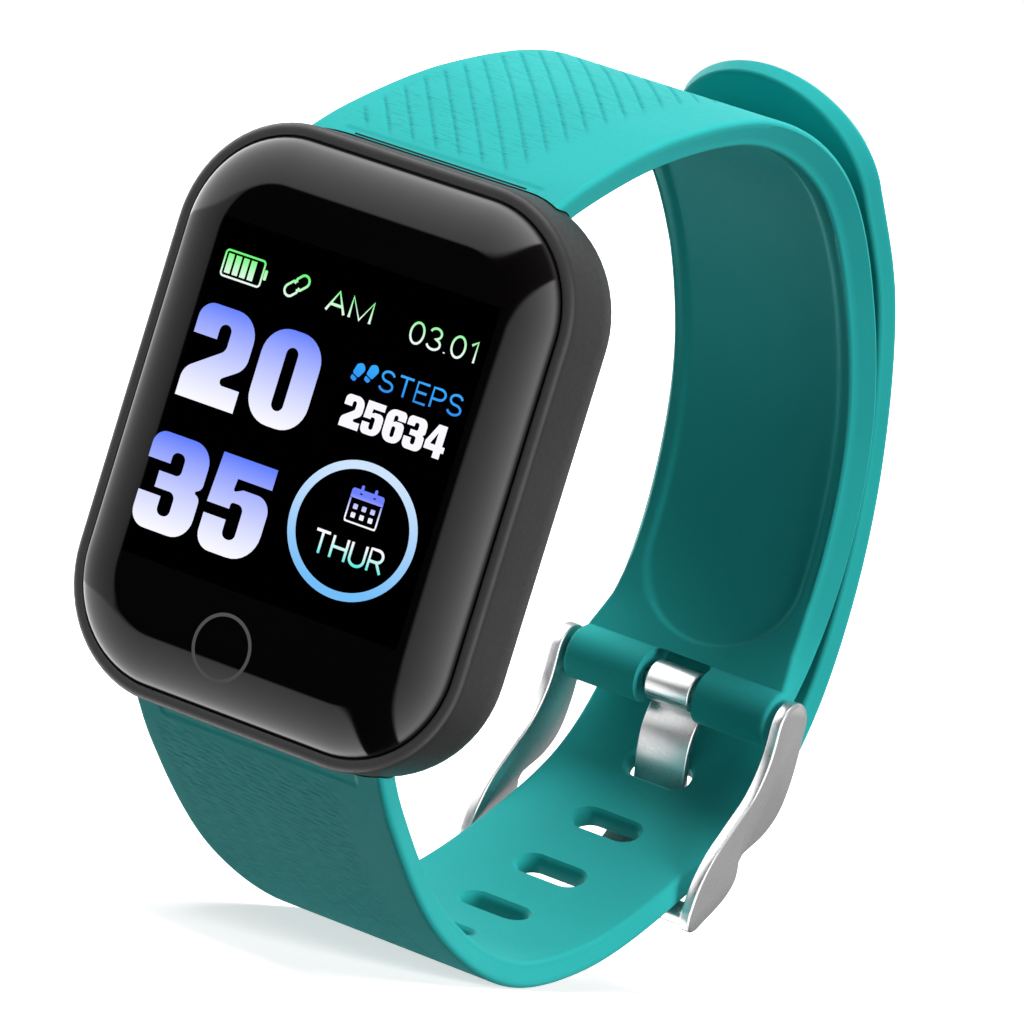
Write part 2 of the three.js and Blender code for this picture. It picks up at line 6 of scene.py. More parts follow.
import bmesh
import bpy
import numpy as np
from mathutils import Matrix, Vector


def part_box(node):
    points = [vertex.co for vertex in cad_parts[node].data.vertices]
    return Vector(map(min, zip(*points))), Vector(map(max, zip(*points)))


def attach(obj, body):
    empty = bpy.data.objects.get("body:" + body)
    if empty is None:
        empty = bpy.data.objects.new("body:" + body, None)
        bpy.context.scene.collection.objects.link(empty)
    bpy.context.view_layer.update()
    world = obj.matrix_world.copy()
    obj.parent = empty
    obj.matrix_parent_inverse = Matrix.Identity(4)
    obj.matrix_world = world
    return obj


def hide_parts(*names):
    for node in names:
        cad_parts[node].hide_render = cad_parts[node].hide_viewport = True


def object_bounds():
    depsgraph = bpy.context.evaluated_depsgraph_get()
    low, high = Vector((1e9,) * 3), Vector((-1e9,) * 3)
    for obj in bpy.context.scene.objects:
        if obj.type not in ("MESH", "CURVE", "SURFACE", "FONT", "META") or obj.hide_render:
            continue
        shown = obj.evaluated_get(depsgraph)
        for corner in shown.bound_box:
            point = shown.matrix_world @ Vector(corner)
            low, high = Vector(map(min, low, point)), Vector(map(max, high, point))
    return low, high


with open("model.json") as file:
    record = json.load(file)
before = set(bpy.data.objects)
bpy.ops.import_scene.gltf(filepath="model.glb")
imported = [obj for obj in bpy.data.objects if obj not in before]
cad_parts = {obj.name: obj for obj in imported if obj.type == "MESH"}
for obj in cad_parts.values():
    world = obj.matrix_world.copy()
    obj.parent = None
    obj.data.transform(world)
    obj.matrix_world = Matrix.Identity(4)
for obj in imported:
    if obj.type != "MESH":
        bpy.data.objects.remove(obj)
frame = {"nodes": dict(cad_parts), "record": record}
CAD_LOW, CAD_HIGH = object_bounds()
MM = 0.001


def node_box(name):
    """Lowest and highest corner of a CAD node in mm."""
    low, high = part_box(name)
    return np.array(low) / MM, np.array(high) / MM


# Places read from the CAD
SHELL_LOW, SHELL_HIGH = node_box("case_shell")
GLASS_LOW, GLASS_HIGH = node_box("touch_glass")
COVER_LOW, COVER_HIGH = node_box("rear_cover")
WINDOW_LOW, WINDOW_HIGH = node_box("sensor_window")
TUBE_LOW, TUBE_HIGH = node_box("spring_bar_tube")
ARM_OUTER = node_box("buckle_frame")[1][0]
PIN_Y = (TUBE_LOW[1] + TUBE_HIGH[1]) / 2
PIN_Z = (TUBE_LOW[2] + TUBE_HIGH[2]) / 2
CASE_WIDTH = SHELL_HIGH[0] - SHELL_LOW[0]
CASE_HEIGHT = SHELL_HIGH[2] - SHELL_LOW[2]
CASE_CORNER = 9.8
CASE_FRONT = SHELL_LOW[1]
CASE_BACK = SHELL_HIGH[1]
CASE_WAIST = -6.2
CASE_TUCK = 2.6
GLASS_FRONT = GLASS_LOW[1]
GLASS_INSET = (CASE_WIDTH - (GLASS_HIGH[0] - GLASS_LOW[0])) / 2

# Mid-lines of the straps in the YZ plane, from the case outwards, as in the CAD
UPPER_LINE = [
    (-7.4, 20.6), (-2, 24), (9.6, 29.1), (25, 32.3), (37.8, 29.9),
    (47.4, 22.8), (55.4, 11.5), (58.3, 0.5), (57.9, -8), (55.6, -14.4),
]
LOWER_LINE = [
    (-7.4, -20.6), (-1.8, -25.8), (10.2, -33.6), (24.6, -37.5), (36.8, -35.6), (48.2, -29.7),
    (57.2, -22.6), (61.2, -14), (61.8, -3), (59.3, 8.8), (53, 21.7), (43.6, 31.5), (39, 37),
]
PRONG_LINE = [
    (57, -15.6), (56.5, -18.4), (56.9, -20.6), (57.9, -23.1), (58.1, -24.8), (56.7, -26.9),
    (53.8, -29.3), (52.2, -30.2),
]
# Half-sizes of the straps: (distance along the mid-line, half-size)
UPPER_OUTER = [(0, 11.9), (12, 11.4), (40, 10.6), (62, 10), (94, 9.9), (99, 10.05), (110, 10.1)]
UPPER_INNER = [
    (0, 11.5), (12, 10.9), (40, 9.5), (62, 8.9), (91, 8.9), (95, 9.2), (98, 9.85), (99.5, 10.05), (110, 10.1),
]
UPPER_THICK = [(0, 1.25), (110, 1.13)]
LOWER_OUTER = [(0, 11.9), (12, 11.6), (45, 10.3), (62, 9.95), (200, 9.8)]
LOWER_INNER = [(0, 11.5), (12, 11.1), (45, 9.8), (62, 9.55), (200, 9.4)]
LOWER_THICK = [(0, 1.22), (40, 1.05), (60, 0.97), (200, 0.97)]
TIP_LENGTH = 9
EDGE_RADIUS = 0.42
STRAP_CREASE = 40
LUG_RADIUS = 2.3
SLOT = {"pitch": 8.2, "length": 6.1, "width": 2.5, "count": 9, "first": 41.6}
CROSSBAR = {"y": 49.4, "z": -31.3, "width": 2, "thickness": 1.4, "turn": math.pi * 0.21}
ARM_INNER = 10.6
ARM_EYE = 2.15
ARM_EDGE = 0.28
NOTCH_HALF = 2.9
CLEARANCE = 0.12
LEDGE_DEPTH = 0.1
UPPER_LINE_DEPTH = 0.1
LOWER_LINE_DEPTH = 0.05
BARREL = {"radius": 1.75, "half": 2.2, "edge": 0.18, "bore": 1.1}


# Mesh helpers


def placed(name, data):
    """A new object in the scene."""
    item = bpy.data.objects.new(name, data)
    bpy.context.scene.collection.objects.link(item)
    return item


def mark_sharp_edges(mesh, angle):
    """Smooth faces, with a crease where two faces meet at more than this angle in degrees."""
    work = bmesh.new()
    work.from_mesh(mesh)
    limit = math.radians(angle)
    for face in work.faces:
        face.smooth = True
    for edge in work.edges:
        if len(edge.link_faces) == 2:
            edge.smooth = edge.calc_face_angle(0) < limit
    work.to_mesh(mesh)
    work.free()


def new_object(name, points, faces, crease=35):
    """A mesh object from points in mm, with its faces turned outwards."""
    mesh = bpy.data.meshes.new(name)
    mesh.from_pydata((np.asarray(points, float) * MM).tolist(), [], faces)
    work = bmesh.new()
    work.from_mesh(mesh)
    bmesh.ops.recalc_face_normals(work, faces=work.faces)
    work.to_mesh(mesh)
    work.free()
    mark_sharp_edges(mesh, crease)
    return placed(name, mesh)


def apply_modifiers(item):
    """Makes the modifiers' result the object's own mesh."""
    graph = bpy.context.evaluated_depsgraph_get()
    result = bpy.data.meshes.new_from_object(item.evaluated_get(graph))
    item.modifiers.clear()
    item.data = result
    return item


def boolean(item, tool, operation="DIFFERENCE"):
    modifier = item.modifiers.new("cut", "BOOLEAN")
    modifier.operation = operation
    modifier.solver = "EXACT"
    modifier.object = tool
    apply_modifiers(item)
    bpy.data.objects.remove(tool)
    return item


def bevel(item, width, segments=3, angle=30):
    modifier = item.modifiers.new("bevel", "BEVEL")
    modifier.width = width * MM
    modifier.segments = segments
    modifier.limit_method = "ANGLE"
    modifier.angle_limit = math.radians(angle)
    return apply_modifiers(item)


def finish_piece(item, material, body, nodes=()):
    item.data.materials.clear()
    item.data.materials.append(material)
    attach(item, body)
    if nodes:
        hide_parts(*nodes)
    return item


def joined(name, items):
    """One object from several."""
    work = bmesh.new()
    for item in items:
        work.from_mesh(item.data)
    mesh = bpy.data.meshes.new(name)
    work.to_mesh(mesh)
    work.free()
    for item in items:
        bpy.data.objects.remove(item)
    mark_sharp_edges(mesh, 35)
    return placed(name, mesh)


# Curves


def catmull_rom(points, steps=60):
    """Centripetal Catmull-Rom curve through points, the same curve as in the CAD."""
    given = np.array(points, float)
    knots = np.vstack([2 * given[0] - given[1], given, 2 * given[-1] - given[-2]])
    result = []
    for i in range(1, len(knots) - 2):
        a, b, c, d = knots[i - 1 : i + 3]
        t1 = math.sqrt(np.linalg.norm(b - a))
        t2 = t1 + math.sqrt(np.linalg.norm(c - b))
        t3 = t2 + math.sqrt(np.linalg.norm(d - c))
        for t in np.linspace(t1, t2, steps, endpoint=False):
            ab = a + (b - a) * t / t1
            bc = b + (c - b) * (t - t1) / (t2 - t1)
            cd = c + (d - c) * (t - t2) / (t3 - t2)
            abc = ab + (bc - ab) * t / t2
            bcd = bc + (cd - bc) * (t - t1) / (t3 - t1)
            result.append(abc + (bcd - abc) * (t - t1) / (t2 - t1))
    result.append(given[-1])
    return np.array(result)


class MidLine:
    """A smooth line in the YZ plane. Its normal points away from the wrist."""

    def __init__(self, points, turn, extend=0.0):
        self.dense = catmull_rom(points)
        if extend:
            along = self.dense[-1] - self.dense[-2]
            along /= np.linalg.norm(along)
            self.dense = np.vstack([self.dense, self.dense[-1] + along * extend])
        steps = np.linalg.norm(np.diff(self.dense, axis=0), axis=1)
        self.run = np.concatenate([[0], np.cumsum(steps)])
        self.length = self.run[-1]
        self.turn = turn

    def place(self, distance):
        return np.stack([np.interp(distance, self.run, self.dense[:, k]) for k in (0, 1)], -1)

    def tangent(self, distance):
        step = 0.15
        along = self.place(np.minimum(distance + step, self.length))
        along = along - self.place(np.maximum(distance - step, 0))
        return along / np.linalg.norm(along, axis=-1, keepdims=True)

    def normal(self, distance):
        along = self.tangent(distance)
        return self.turn * np.stack([-along[..., 1], along[..., 0]], -1)

    def nearest(self, places):
        """Distance along the line of the point of the line nearest to each place."""
        sample = np.linspace(0, self.length, 900)
        spots = self.place(sample)
        found = np.empty(len(places))
        for start in range(0, len(places), 4000):
            part = places[start : start + 4000]
            gap = ((part[:, None, :] - spots[None, :, :]) ** 2).sum(-1)
            found[start : start + 4000] = sample[gap.argmin(1)]
        return found


def table(rows, distance):
    return np.interp(distance, [r[0] for r in rows], [r[1] for r in rows])


def smoothstep(low, high, value):
    t = np.clip((value - low) / (high - low), 0, 1)
    return t * t * (3 - 2 * t)


def smooth_max(a, b, width):
    h = np.clip(0.5 + 0.5 * (a - b) / width, 0, 1)
    return b + (a - b) * h + width * h * (1 - h)


# Outlines and the skins over them


def arc_points(x, z, radius_x, radius_z, start, end, steps=14):
    angles = np.radians(np.linspace(start, end, steps + 1))
    return [(x + radius_x * math.cos(a), z + radius_z * math.sin(a)) for a in angles]


def ring(width, height, corner, middle=0.0, arc=18, side=8):
    """Points (x, z) round a rounded rectangle, always the same number of them."""
    arcs = []
    for sx, sz, start in ((1, 1, 0), (-1, 1, 90), (-1, -1, 180), (1, -1, 270)):
        centre = sx * (width / 2 - corner), middle + sz * (height / 2 - corner)
        arcs.append(np.array(arc_points(*centre, corner, corner, start, start + 90, arc)))
    share = np.arange(1, side)[:, None] / side
    points = []
    for k, bend in enumerate(arcs):
        straight = bend[-1] + (arcs[(k + 1) % 4][0] - bend[-1]) * share
        points += np.vstack([bend, straight]).tolist()
    return points


def stack(name, rings, closed=False, crease=35):
    """Skin over rings of points (x, y, z), each with the same number of points.
    A closed stack joins its last ring to its first, an open one has two end faces."""
    count = len(rings[0])
    faces = []
    for r in range(len(rings) if closed else len(rings) - 1):
        here, there = r * count, (r + 1) % len(rings) * count
        for i in range(count):
            j = (i + 1) % count
            faces.append((here + i, here + j, there + j, there + i))
    if not closed:
        faces += [tuple(range(count)), tuple(range((len(rings) - 1) * count, len(rings) * count))]
    return new_object(name, [point for points in rings for point in points], faces, crease)


def loft(name, outlines, closed=False, crease=35):
    """Stack of outlines seen face-on, given as (y, points)."""
    return stack(name, [[(x, y, z) for x, z in points] for y, points in outlines], closed, crease)


def case_ring(inset, y):
    corner = max(CASE_CORNER - inset, 0.4)
    return y, ring(CASE_WIDTH - 2 * inset, CASE_HEIGHT - 2 * inset, corner)


def round_ring(radius, place, axis="Y", centre=(0, 0), sides=48):
    """Circle square to X or Y."""
    turns = [2 * math.pi * i / sides for i in range(sides)]
    spots = [(centre[0] + radius * math.cos(a), centre[1] + radius * math.sin(a)) for a in turns]
    return [(place, u, v) if axis == "X" else (u, place, v) for u, v in spots]


def cylinder(name, radius, start, end, axis, centre, sides=48, edge=0.0):
    """A rod along X or Y, with its ends rounded by edge."""
    profile = [(start, radius)]
    if edge:
        turns = np.radians(np.linspace(90, 0, 5))
        profile = [(start + edge * (1 - math.sin(a)), radius - edge * (1 - math.cos(a))) for a in turns]
    profile += [(start + end - place, size) for place, size in profile[::-1]]
    return stack(name, [round_ring(size, place, axis, centre, sides) for place, size in profile])


# Materials


class Nodes:
    """A short way to write the nodes of a material, or of the world if tree is given."""

    def __init__(self, name, tree=None):
        self.tree = tree
        if tree is None:
            self.material = bpy.data.materials.new(name)
            self.material.use_nodes = True
            self.tree = self.material.node_tree
            self.shader = self.tree.nodes["Principled BSDF"]

    def add(self, kind, settings=None, **inputs):
        node = self.tree.nodes.new(kind)
        for key, value in (settings or {}).items():
            setattr(node, key, value)
        for key, value in inputs.items():
            self.put(node, key.replace("_", " "), value)
        return node

    def put(self, node, key, value):
        socket = node.inputs[int(key[1:])] if key[0] == "#" else node.inputs[key]
        if isinstance(value, bpy.types.NodeSocket):
            self.tree.links.new(value, socket)
        else:
            socket.default_value = value

    def math(self, operation, a, b):
        node = self.add("ShaderNodeMath", {"operation": operation})
        self.put(node, "#0", a)
        self.put(node, "#1", b)
        return node.outputs[0]

    def mix(self, factor, a, b):
        node = self.add("ShaderNodeMix", {"data_type": "RGBA"})
        self.put(node, "#0", factor)
        self.put(node, "#6", a)
        self.put(node, "#7", b)
        return node.outputs[2]

    def noise(self, scale, detail=2.0, stretch=(1, 1, 1), vector=None, turn=0.0):
        place = vector or self.add("ShaderNodeTexCoord").outputs["Object"]
        moved = self.add("ShaderNodeMapping", Vector=place, Scale=stretch, Rotation=(0, 0, turn))
        texture = self.add("ShaderNodeTexNoise", Vector=moved.outputs[0], Scale=scale, Detail=detail)
        return texture.outputs["Fac"]

    def ramp(self, value, low, high, to_low=0.0, to_high=1.0):
        node = self.add("ShaderNodeMapRange")
        for key, number in (("#0", value), ("#1", low), ("#2", high), ("#3", to_low), ("#4", to_high)):
            self.put(node, key, number)
        return node.outputs[0]

    def bump(self, height, distance, strength=1.0):
        node = self.add("ShaderNodeBump", Strength=strength, Distance=distance, Height=height)
        self.put(self.shader, "Normal", node.outputs[0])

    def set(self, **inputs):
        for key, value in inputs.items():
            self.put(self.shader, key.replace("_", " "), value)
        return self


def speckled(name, colour, other, roughness, metallic=0.0, scale=900.0, grain=0.00002, **extra):
    """Two close tints in a fine noise, with a grain in the surface and a varied roughness."""
    nodes = Nodes(name)
    fine = nodes.noise(scale, 3.0)
    broad = nodes.noise(scale / 18, 2.0)
    tint = nodes.mix(nodes.ramp(broad, 0.35, 0.65), (*colour, 1), (*other, 1))
    rough = nodes.ramp(fine, 0.3, 0.7, roughness - 0.05, roughness + 0.06)
    nodes.set(Base_Color=tint, Roughness=rough, Metallic=metallic, **extra)
    nodes.bump(fine, grain, 0.5)
    return nodes.material


def silicone(name, turn):
    """Silky silicone: incised lines come with the mesh, fine strokes between them are in the grain. Both are
    darkened in the base colour as painted shade.
    """
    nodes = Nodes(name)
    place = nodes.add("ShaderNodeAttribute", {"attribute_name": "strap_place"}).outputs["Vector"]
    incised = nodes.add("ShaderNodeAttribute", {"attribute_name": "incised"}).outputs["Fac"]
    woven = nodes.add("ShaderNodeAttribute", {"attribute_name": "textured"}).outputs["Fac"]
    strokes = nodes.noise(2.2, 1.0, (0.32, 1.9, 1), place, turn)
    stroke_mask = nodes.math("MULTIPLY", nodes.ramp(strokes, 0.56, 0.66), woven)
    broad = nodes.noise(70, 2.0)
    fine = nodes.noise(2600, 2.0)
    base = nodes.mix(nodes.ramp(broad, 0.3, 0.7), (0.026, 0.425, 0.415, 1), (0.03, 0.465, 0.45, 1))
    # Painted shade: the fine sunken strokes are darkened in the base colour, while their bump below is real
    base = nodes.mix(nodes.math("MULTIPLY", stroke_mask, 0.28), base, (0.006, 0.24, 0.25, 1))
    # Painted shade: where the incised lines run, the base colour is darkened
    base = nodes.mix(nodes.math("MULTIPLY", incised, 0.5), base, (0.004, 0.20, 0.22, 1))
    rough = nodes.ramp(fine, 0.3, 0.7, 0.46, 0.58)
    nodes.set(Base_Color=base, Roughness=rough, Sheen_Weight=0.03, Sheen_Roughness=0.4)
    nodes.set(Specular_IOR_Level=0.1)
    height = nodes.math("SUBTRACT", nodes.math("MULTIPLY", fine, 0.35), stroke_mask)
    nodes.bump(height, 0.00003, 0.6)
    return nodes.material


def satin_metal(name):
    """Bead-blasted aluminium with a very fine grain, and a lighter tint on convex edges as a painted
    highlight.
    """
    nodes = Nodes(name)
    fine = nodes.noise(5200, 2.0)
    broad = nodes.noise(160, 3.0)
    tint = nodes.mix(nodes.ramp(broad, 0.3, 0.7), (0.56, 0.56, 0.565, 1), (0.63, 0.63, 0.635, 1))
    # Painted highlight: convex edges, found by pointiness, get a much lighter tint
    edge = nodes.add("ShaderNodeNewGeometry").outputs["Pointiness"]
    tint = nodes.mix(nodes.ramp(edge, 0.52, 0.6), tint, (0.86, 0.86, 0.87, 1))
    rough = nodes.ramp(fine, 0.3, 0.7, 0.27, 0.36)
    nodes.set(Base_Color=tint, Roughness=rough, Metallic=1.0)
    nodes.bump(fine, 0.000004, 0.25)
    return nodes.material


SCREEN_AREA = {"left": -13.7, "right": 12.8, "bottom": -12.5, "top": 14.4}


def cover_glass(name):
    """Glass inked black round the display: deep gloss with faint broad unevenness."""
    nodes = Nodes(name)
    broad = nodes.noise(40, 1.0)
    place = nodes.add("ShaderNodeTexCoord").outputs["Object"]
    spot = nodes.add("ShaderNodeSeparateXYZ", Vector=place)
    ink = nodes.mix(nodes.ramp(broad, 0.3, 0.7), (0.0085, 0.0068, 0.0075, 1), (0.0098, 0.008, 0.0088, 1))
    inside = 1.0
    edges = (("X", "left", "right"), ("Z", "bottom", "top"))
    for axis, low, high in edges:
        above = nodes.math("GREATER_THAN", spot.outputs[axis], SCREEN_AREA[low] * MM)
        below = nodes.math("LESS_THAN", spot.outputs[axis], SCREEN_AREA[high] * MM)
        inside = nodes.math("MULTIPLY", nodes.math("MULTIPLY", above, below), inside)
    tint = nodes.mix(inside, ink, (0.0006, 0.0006, 0.0007, 1))
    rough = nodes.ramp(broad, 0.3, 0.7, 0.045, 0.06)
    nodes.set(Base_Color=tint, Roughness=rough, Specular_IOR_Level=0.5)
    return nodes.material


def glow(name, low_colour, high_colour, low_z, high_z):
    """Light of the display, and the painted glow of the key ring print, shaded from one colour at the bottom
    of the piece to another at its top.
    """
    nodes = Nodes(name)
    place = nodes.add("ShaderNodeTexCoord").outputs["Object"]
    height = nodes.add("ShaderNodeSeparateXYZ", Vector=place).outputs["Z"]
    share = nodes.ramp(height, low_z * MM, high_z * MM)
    colour = nodes.mix(share, (*low_colour, 1), (*high_colour, 1))
    nodes.set(Base_Color=(0, 0, 0, 1), Emission_Color=colour, Emission_Strength=1.0)
    nodes.set(Specular_IOR_Level=0.0, Roughness=0.6)
    return nodes.material


# Two tints, roughness and metalness of each material slot; a single number is a grey
NODE_LOOKS = {
    "adhesive": (0.02, 0.03, 0.8, 0.0),
    "display": ((0.01, 0.02, 0.03), (0.02, 0.03, 0.04), 0.12, 0.0),
    "backlight": ((0.78, 0.78, 0.76), (0.85, 0.85, 0.83), 0.4, 0.0),
    "ribbon": ((0.42, 0.19, 0.04), (0.5, 0.25, 0.06), 0.35, 0.0),
    "chip_black": (0.0155, 0.0255, 0.5, 0.0),
    "circuit_board": ((0.01, 0.11, 0.045), (0.02, 0.16, 0.07), 0.35, 0.0),
    "crystal_case": ((0.6, 0.59, 0.55), (0.7, 0.69, 0.65), 0.28, 1.0),
    "ceramic": ((0.76, 0.74, 0.68), (0.83, 0.81, 0.76), 0.6, 0.0),
    "battery_foil": ((0.65, 0.66, 0.68), (0.75, 0.76, 0.78), 0.32, 1.0),
    "steel": (0.5, 0.6, 0.25, 1.0),
    "photodiode_black": ((0.01, 0.01, 0.02), (0.02, 0.02, 0.03), 0.15, 0.0),
    "cover_black": (0.014, 0.02, 0.5, 0.0),
    "case_black": (0.014, 0.02, 0.5, 0.0),
    "cover_glass": (0.01, 0.02, 0.1, 0.0),
    "silicone": ((0.02, 0.45, 0.42), (0.03, 0.5, 0.46), 0.5, 0.0),
    "satin_metal": (0.65, 0.72, 0.3, 1.0),
    "sensor_lens": (0.011, 0.017, 0.06, 0.0),
    "seal_rubber": (0.02, 0.03, 0.75, 0.0),
    "screw_steel": ((0.05, 0.05, 0.052), (0.08, 0.08, 0.083), 0.32, 1.0),
    "gold": ((0.78, 0.52, 0.18), (0.84, 0.6, 0.26), 0.18, 1.0),
    "insert": (0.02, 0.03, 0.55, 0.0),
    "led": ((0.1, 0.5, 0.18), (0.15, 0.6, 0.22), 0.3, 0.0),
}
LED_GREEN = (0.05, 1.0, 0.2, 1)
LED_STRENGTH = 2.5


def node_material(slot_name):
    """Finish of a CAD node that is shown as it is."""
    *tints, roughness, metallic = NODE_LOOKS[slot_name]
    tints = [tint if isinstance(tint, tuple) else (tint,) * 3 for tint in tints]
    material = speckled("node_" + slot_name, *tints, roughness, metallic)
    if slot_name == "led":
        shader = material.node_tree.nodes["Principled BSDF"]
        shader.inputs["Emission Color"].default_value = LED_GREEN
        shader.inputs["Emission Strength"].default_value = LED_STRENGTH
    return material


def finish_cad_nodes():
    slot_of = {row["node"]: row["material_slot"] for row in frame["record"]["subparts"]}
    made = {}
    for name, item in frame["nodes"].items():
        slot_name = slot_of[name]
        if slot_name not in made:
            made[slot_name] = node_material(slot_name)
        if not item.material_slots:
            item.data.materials.append(made[slot_name])
        for slot in item.material_slots:
            slot.material = made[slot_name]


# Case


def tuck_profile(grow=0.0):
    """Side wall and its curve towards the wrist, as (inset, y)."""
    rows = [(-grow, CASE_WAIST)]
    for angle in np.radians(np.linspace(0, 90, 15))[1:]:
        inset = CASE_TUCK * (1 - math.cos(angle)) - grow
        rows.append((inset, CASE_WAIST + (CASE_BACK - CASE_WAIST + grow) * math.sin(angle)))
    return rows


def build_case():
    profile = [
        (GLASS_INSET - 0.07, -9.8), (GLASS_INSET - 0.07, CASE_FRONT + 0.1),
        (GLASS_INSET - 0.1, CASE_FRONT + 0.03), (GLASS_INSET - 0.16, CASE_FRONT),
        (0.5, CASE_FRONT), (0.34, CASE_FRONT + 0.025), (0.19, CASE_FRONT + 0.1),
        (0.08, CASE_FRONT + 0.22), (0.02, CASE_FRONT + 0.38), (0, CASE_FRONT + 0.55),
    ]
    profile += tuck_profile()
    profile += [
        (3.5, CASE_BACK), (3.62, CASE_BACK - 0.04), (3.7, CASE_BACK - 0.14), (3.7, -3.2), (5.2, -3.2),
        (5.2, -4.2), (2.6, -4.2), (2.6, -9), (2.8, -9.1), (2.8, -9.8),
    ]
    item = loft("case_body", [case_ring(inset, y) for inset, y in profile], closed=True, crease=40)
    material = speckled(
        "case_plastic", (0.013, 0.013, 0.0135), (0.017, 0.017, 0.0175), 0.46, scale=2600, grain=0.00002
    )
    finish_piece(item, material, "band", ["case_shell"])


# The glass curves from its seat on the rim to the flat over this distance and angle
GLASS_EDGE = 4.0
GLASS_CREASE = 84
GLASS_RISE_STEPS = 28
GLASS_SEAT = -10.22
GLASS_FLAT = GLASS_FRONT + 0.03
SCREEN_Y = GLASS_FRONT + 0.02


def glass_profile(angle):
    """Distance in from the rim and y of the curved edge. The angle in degrees is 0 at the rim."""
    share = (1 - math.cos(math.radians(angle))) / (1 - math.cos(math.radians(GLASS_CREASE)))
    height = math.sin(math.radians(angle)) / math.sin(math.radians(GLASS_CREASE))
    return GLASS_EDGE * share, GLASS_SEAT + (GLASS_FLAT - GLASS_SEAT) * height


def glass_front_at(x, z):
    """y of the glass at a point of its face."""
    half_x = CASE_WIDTH / 2 - GLASS_INSET
    half_z = CASE_HEIGHT / 2 - GLASS_INSET
    corner = CASE_CORNER - GLASS_INSET
    over_x = abs(x) - (half_x - corner)
    over_z = abs(z) - (half_z - corner)
    inside = corner - math.hypot(max(over_x, 0), max(over_z, 0)) - min(max(over_x, over_z), 0)
    rows = [glass_profile(GLASS_CREASE * i / 60) for i in range(61)]
    return float(np.interp(inside, [row[0] for row in rows], [row[1] for row in rows]))


def build_glass():
    """Glass whose edges curve down to the rim, hollow behind for the display panel."""
    seat = -10.12
    front = GLASS_FLAT
    panel_low, panel_high = node_box("display_panel")
    panel_width = panel_high[0] - panel_low[0] + 0.4
    panel_height = panel_high[2] - panel_low[2] + 0.4
    middle = (panel_high[2] + panel_low[2]) / 2
    pocket = ring(panel_width, panel_height, 1.0, middle)
    rings = [(-11.03, pocket), (seat, pocket), case_ring(GLASS_INSET + 0.05, seat)]
    for i in range(GLASS_RISE_STEPS + 1):
        inset, y = glass_profile(GLASS_CREASE * i / GLASS_RISE_STEPS)
        rings.append(case_ring(GLASS_INSET + inset, y))
    for extra in (1.2, 3.0):
        rings.append(case_ring(GLASS_INSET + GLASS_EDGE + extra, front))
    item = loft("glass_cover", rings, crease=50)
    finish_piece(item, cover_glass("glass_ink"), "band", ["touch_glass"])


# Straps


def strap_grid(line, stations, outer, inner, thick, shape, under=70):
    """Closed grid of a strap. shape["sink"](x, s, face, half) tells how far a face point sinks inwards.
    A column is (x, n, face, level). face is 1 on the outer face, -1 on the inner face and 0 between them;
    level is the same, but reaches over the rounded edges too."""
    across, corner_steps, side_steps = 150, 5, 4
    half_out = table(outer, stations)
    half_in = table(inner, stations)
    height = thick(stations)
    tip = TIP_LENGTH if shape.get("tip") else 0
    into = np.clip((stations - (line.length - tip)) / max(tip, 1e-6), 0, 1) if tip else stations * 0
    shrink = np.sqrt(np.maximum(1 - into**2, 0.0))
    half_out, half_in = half_out * np.maximum(shrink, 0.02), half_in * np.maximum(shrink, 0.02)
    radius = np.minimum(EDGE_RADIUS, np.minimum(height[1] * 0.6, half_in * 0.8))
    turns = np.radians(np.linspace(0, 90, corner_steps + 1))
    right = []
    for a in turns[1:]:
        x, n = half_out - radius * (1 - math.sin(a)), height[0] - radius * (1 - math.cos(a))
        right.append((x, n, 0, 1))
    for t in np.arange(1, side_steps) / side_steps:
        n = (height[0] - radius) * (1 - t) - (height[1] - radius) * t
        right.append((half_out + (half_in - half_out) * t, n, 0, 0))
    for a in turns[:-1]:
        x, n = half_in - radius * (1 - math.cos(a)), radius * (1 - math.sin(a)) - height[1]
        right.append((x, n, 0, -1))
    columns = [(u * (half_out - radius), height[0], 1, 1) for u in np.linspace(-1, 1, across + 1)] + right
    columns += [(u * (half_in - radius), -height[1], -1, -1) for u in np.linspace(1, -1, under + 1)]
    columns += [(-x, n, face, level) for x, n, face, level in right[::-1]]
    spot, out = line.place(stations), line.normal(stations)
    grid = np.empty((len(stations), len(columns), 3))
    for c, (x, n, face, level) in enumerate(columns):
        n = np.broadcast_to(n, stations.shape).astype(float).copy()
        if face:
            n -= face * shape["sink"](x, stations, face, half_out)
        if tip and level:
            full = table(outer if level > 0 else inner, stations)
            share = np.sqrt((x / full) ** 2 + into**2)
            slope = np.sqrt((x / full**2) ** 2 + (into / tip) ** 2)
            gap = np.maximum((1 - share) * share / np.maximum(slope, 1e-6), 0)
            over = np.maximum(EDGE_RADIUS - gap, 0)
            drop = EDGE_RADIUS - np.sqrt(EDGE_RADIUS**2 - over**2)
            n = np.where(into > 0, level * (height[0 if level > 0 else 1] - drop), n)
        grid[:, c, 0] = x
        grid[:, c, 1:] = spot + out * n[:, None]
    rows, count = grid.shape[:2]
    index = np.arange(rows * count).reshape(rows, count)
    here, there = index[:-1], index[1:]
    quads = np.stack([here, np.roll(here, -1, 1), np.roll(there, -1, 1), there], -1).reshape(-1, 4)
    faces = [tuple(q) for q in quads.tolist()] + [tuple(index[0].tolist()), tuple(index[-1].tolist())]
    return grid.reshape(-1, 3), faces


LINE_PITCH = 1.68
LINE_ANGLE = math.radians(39.7)


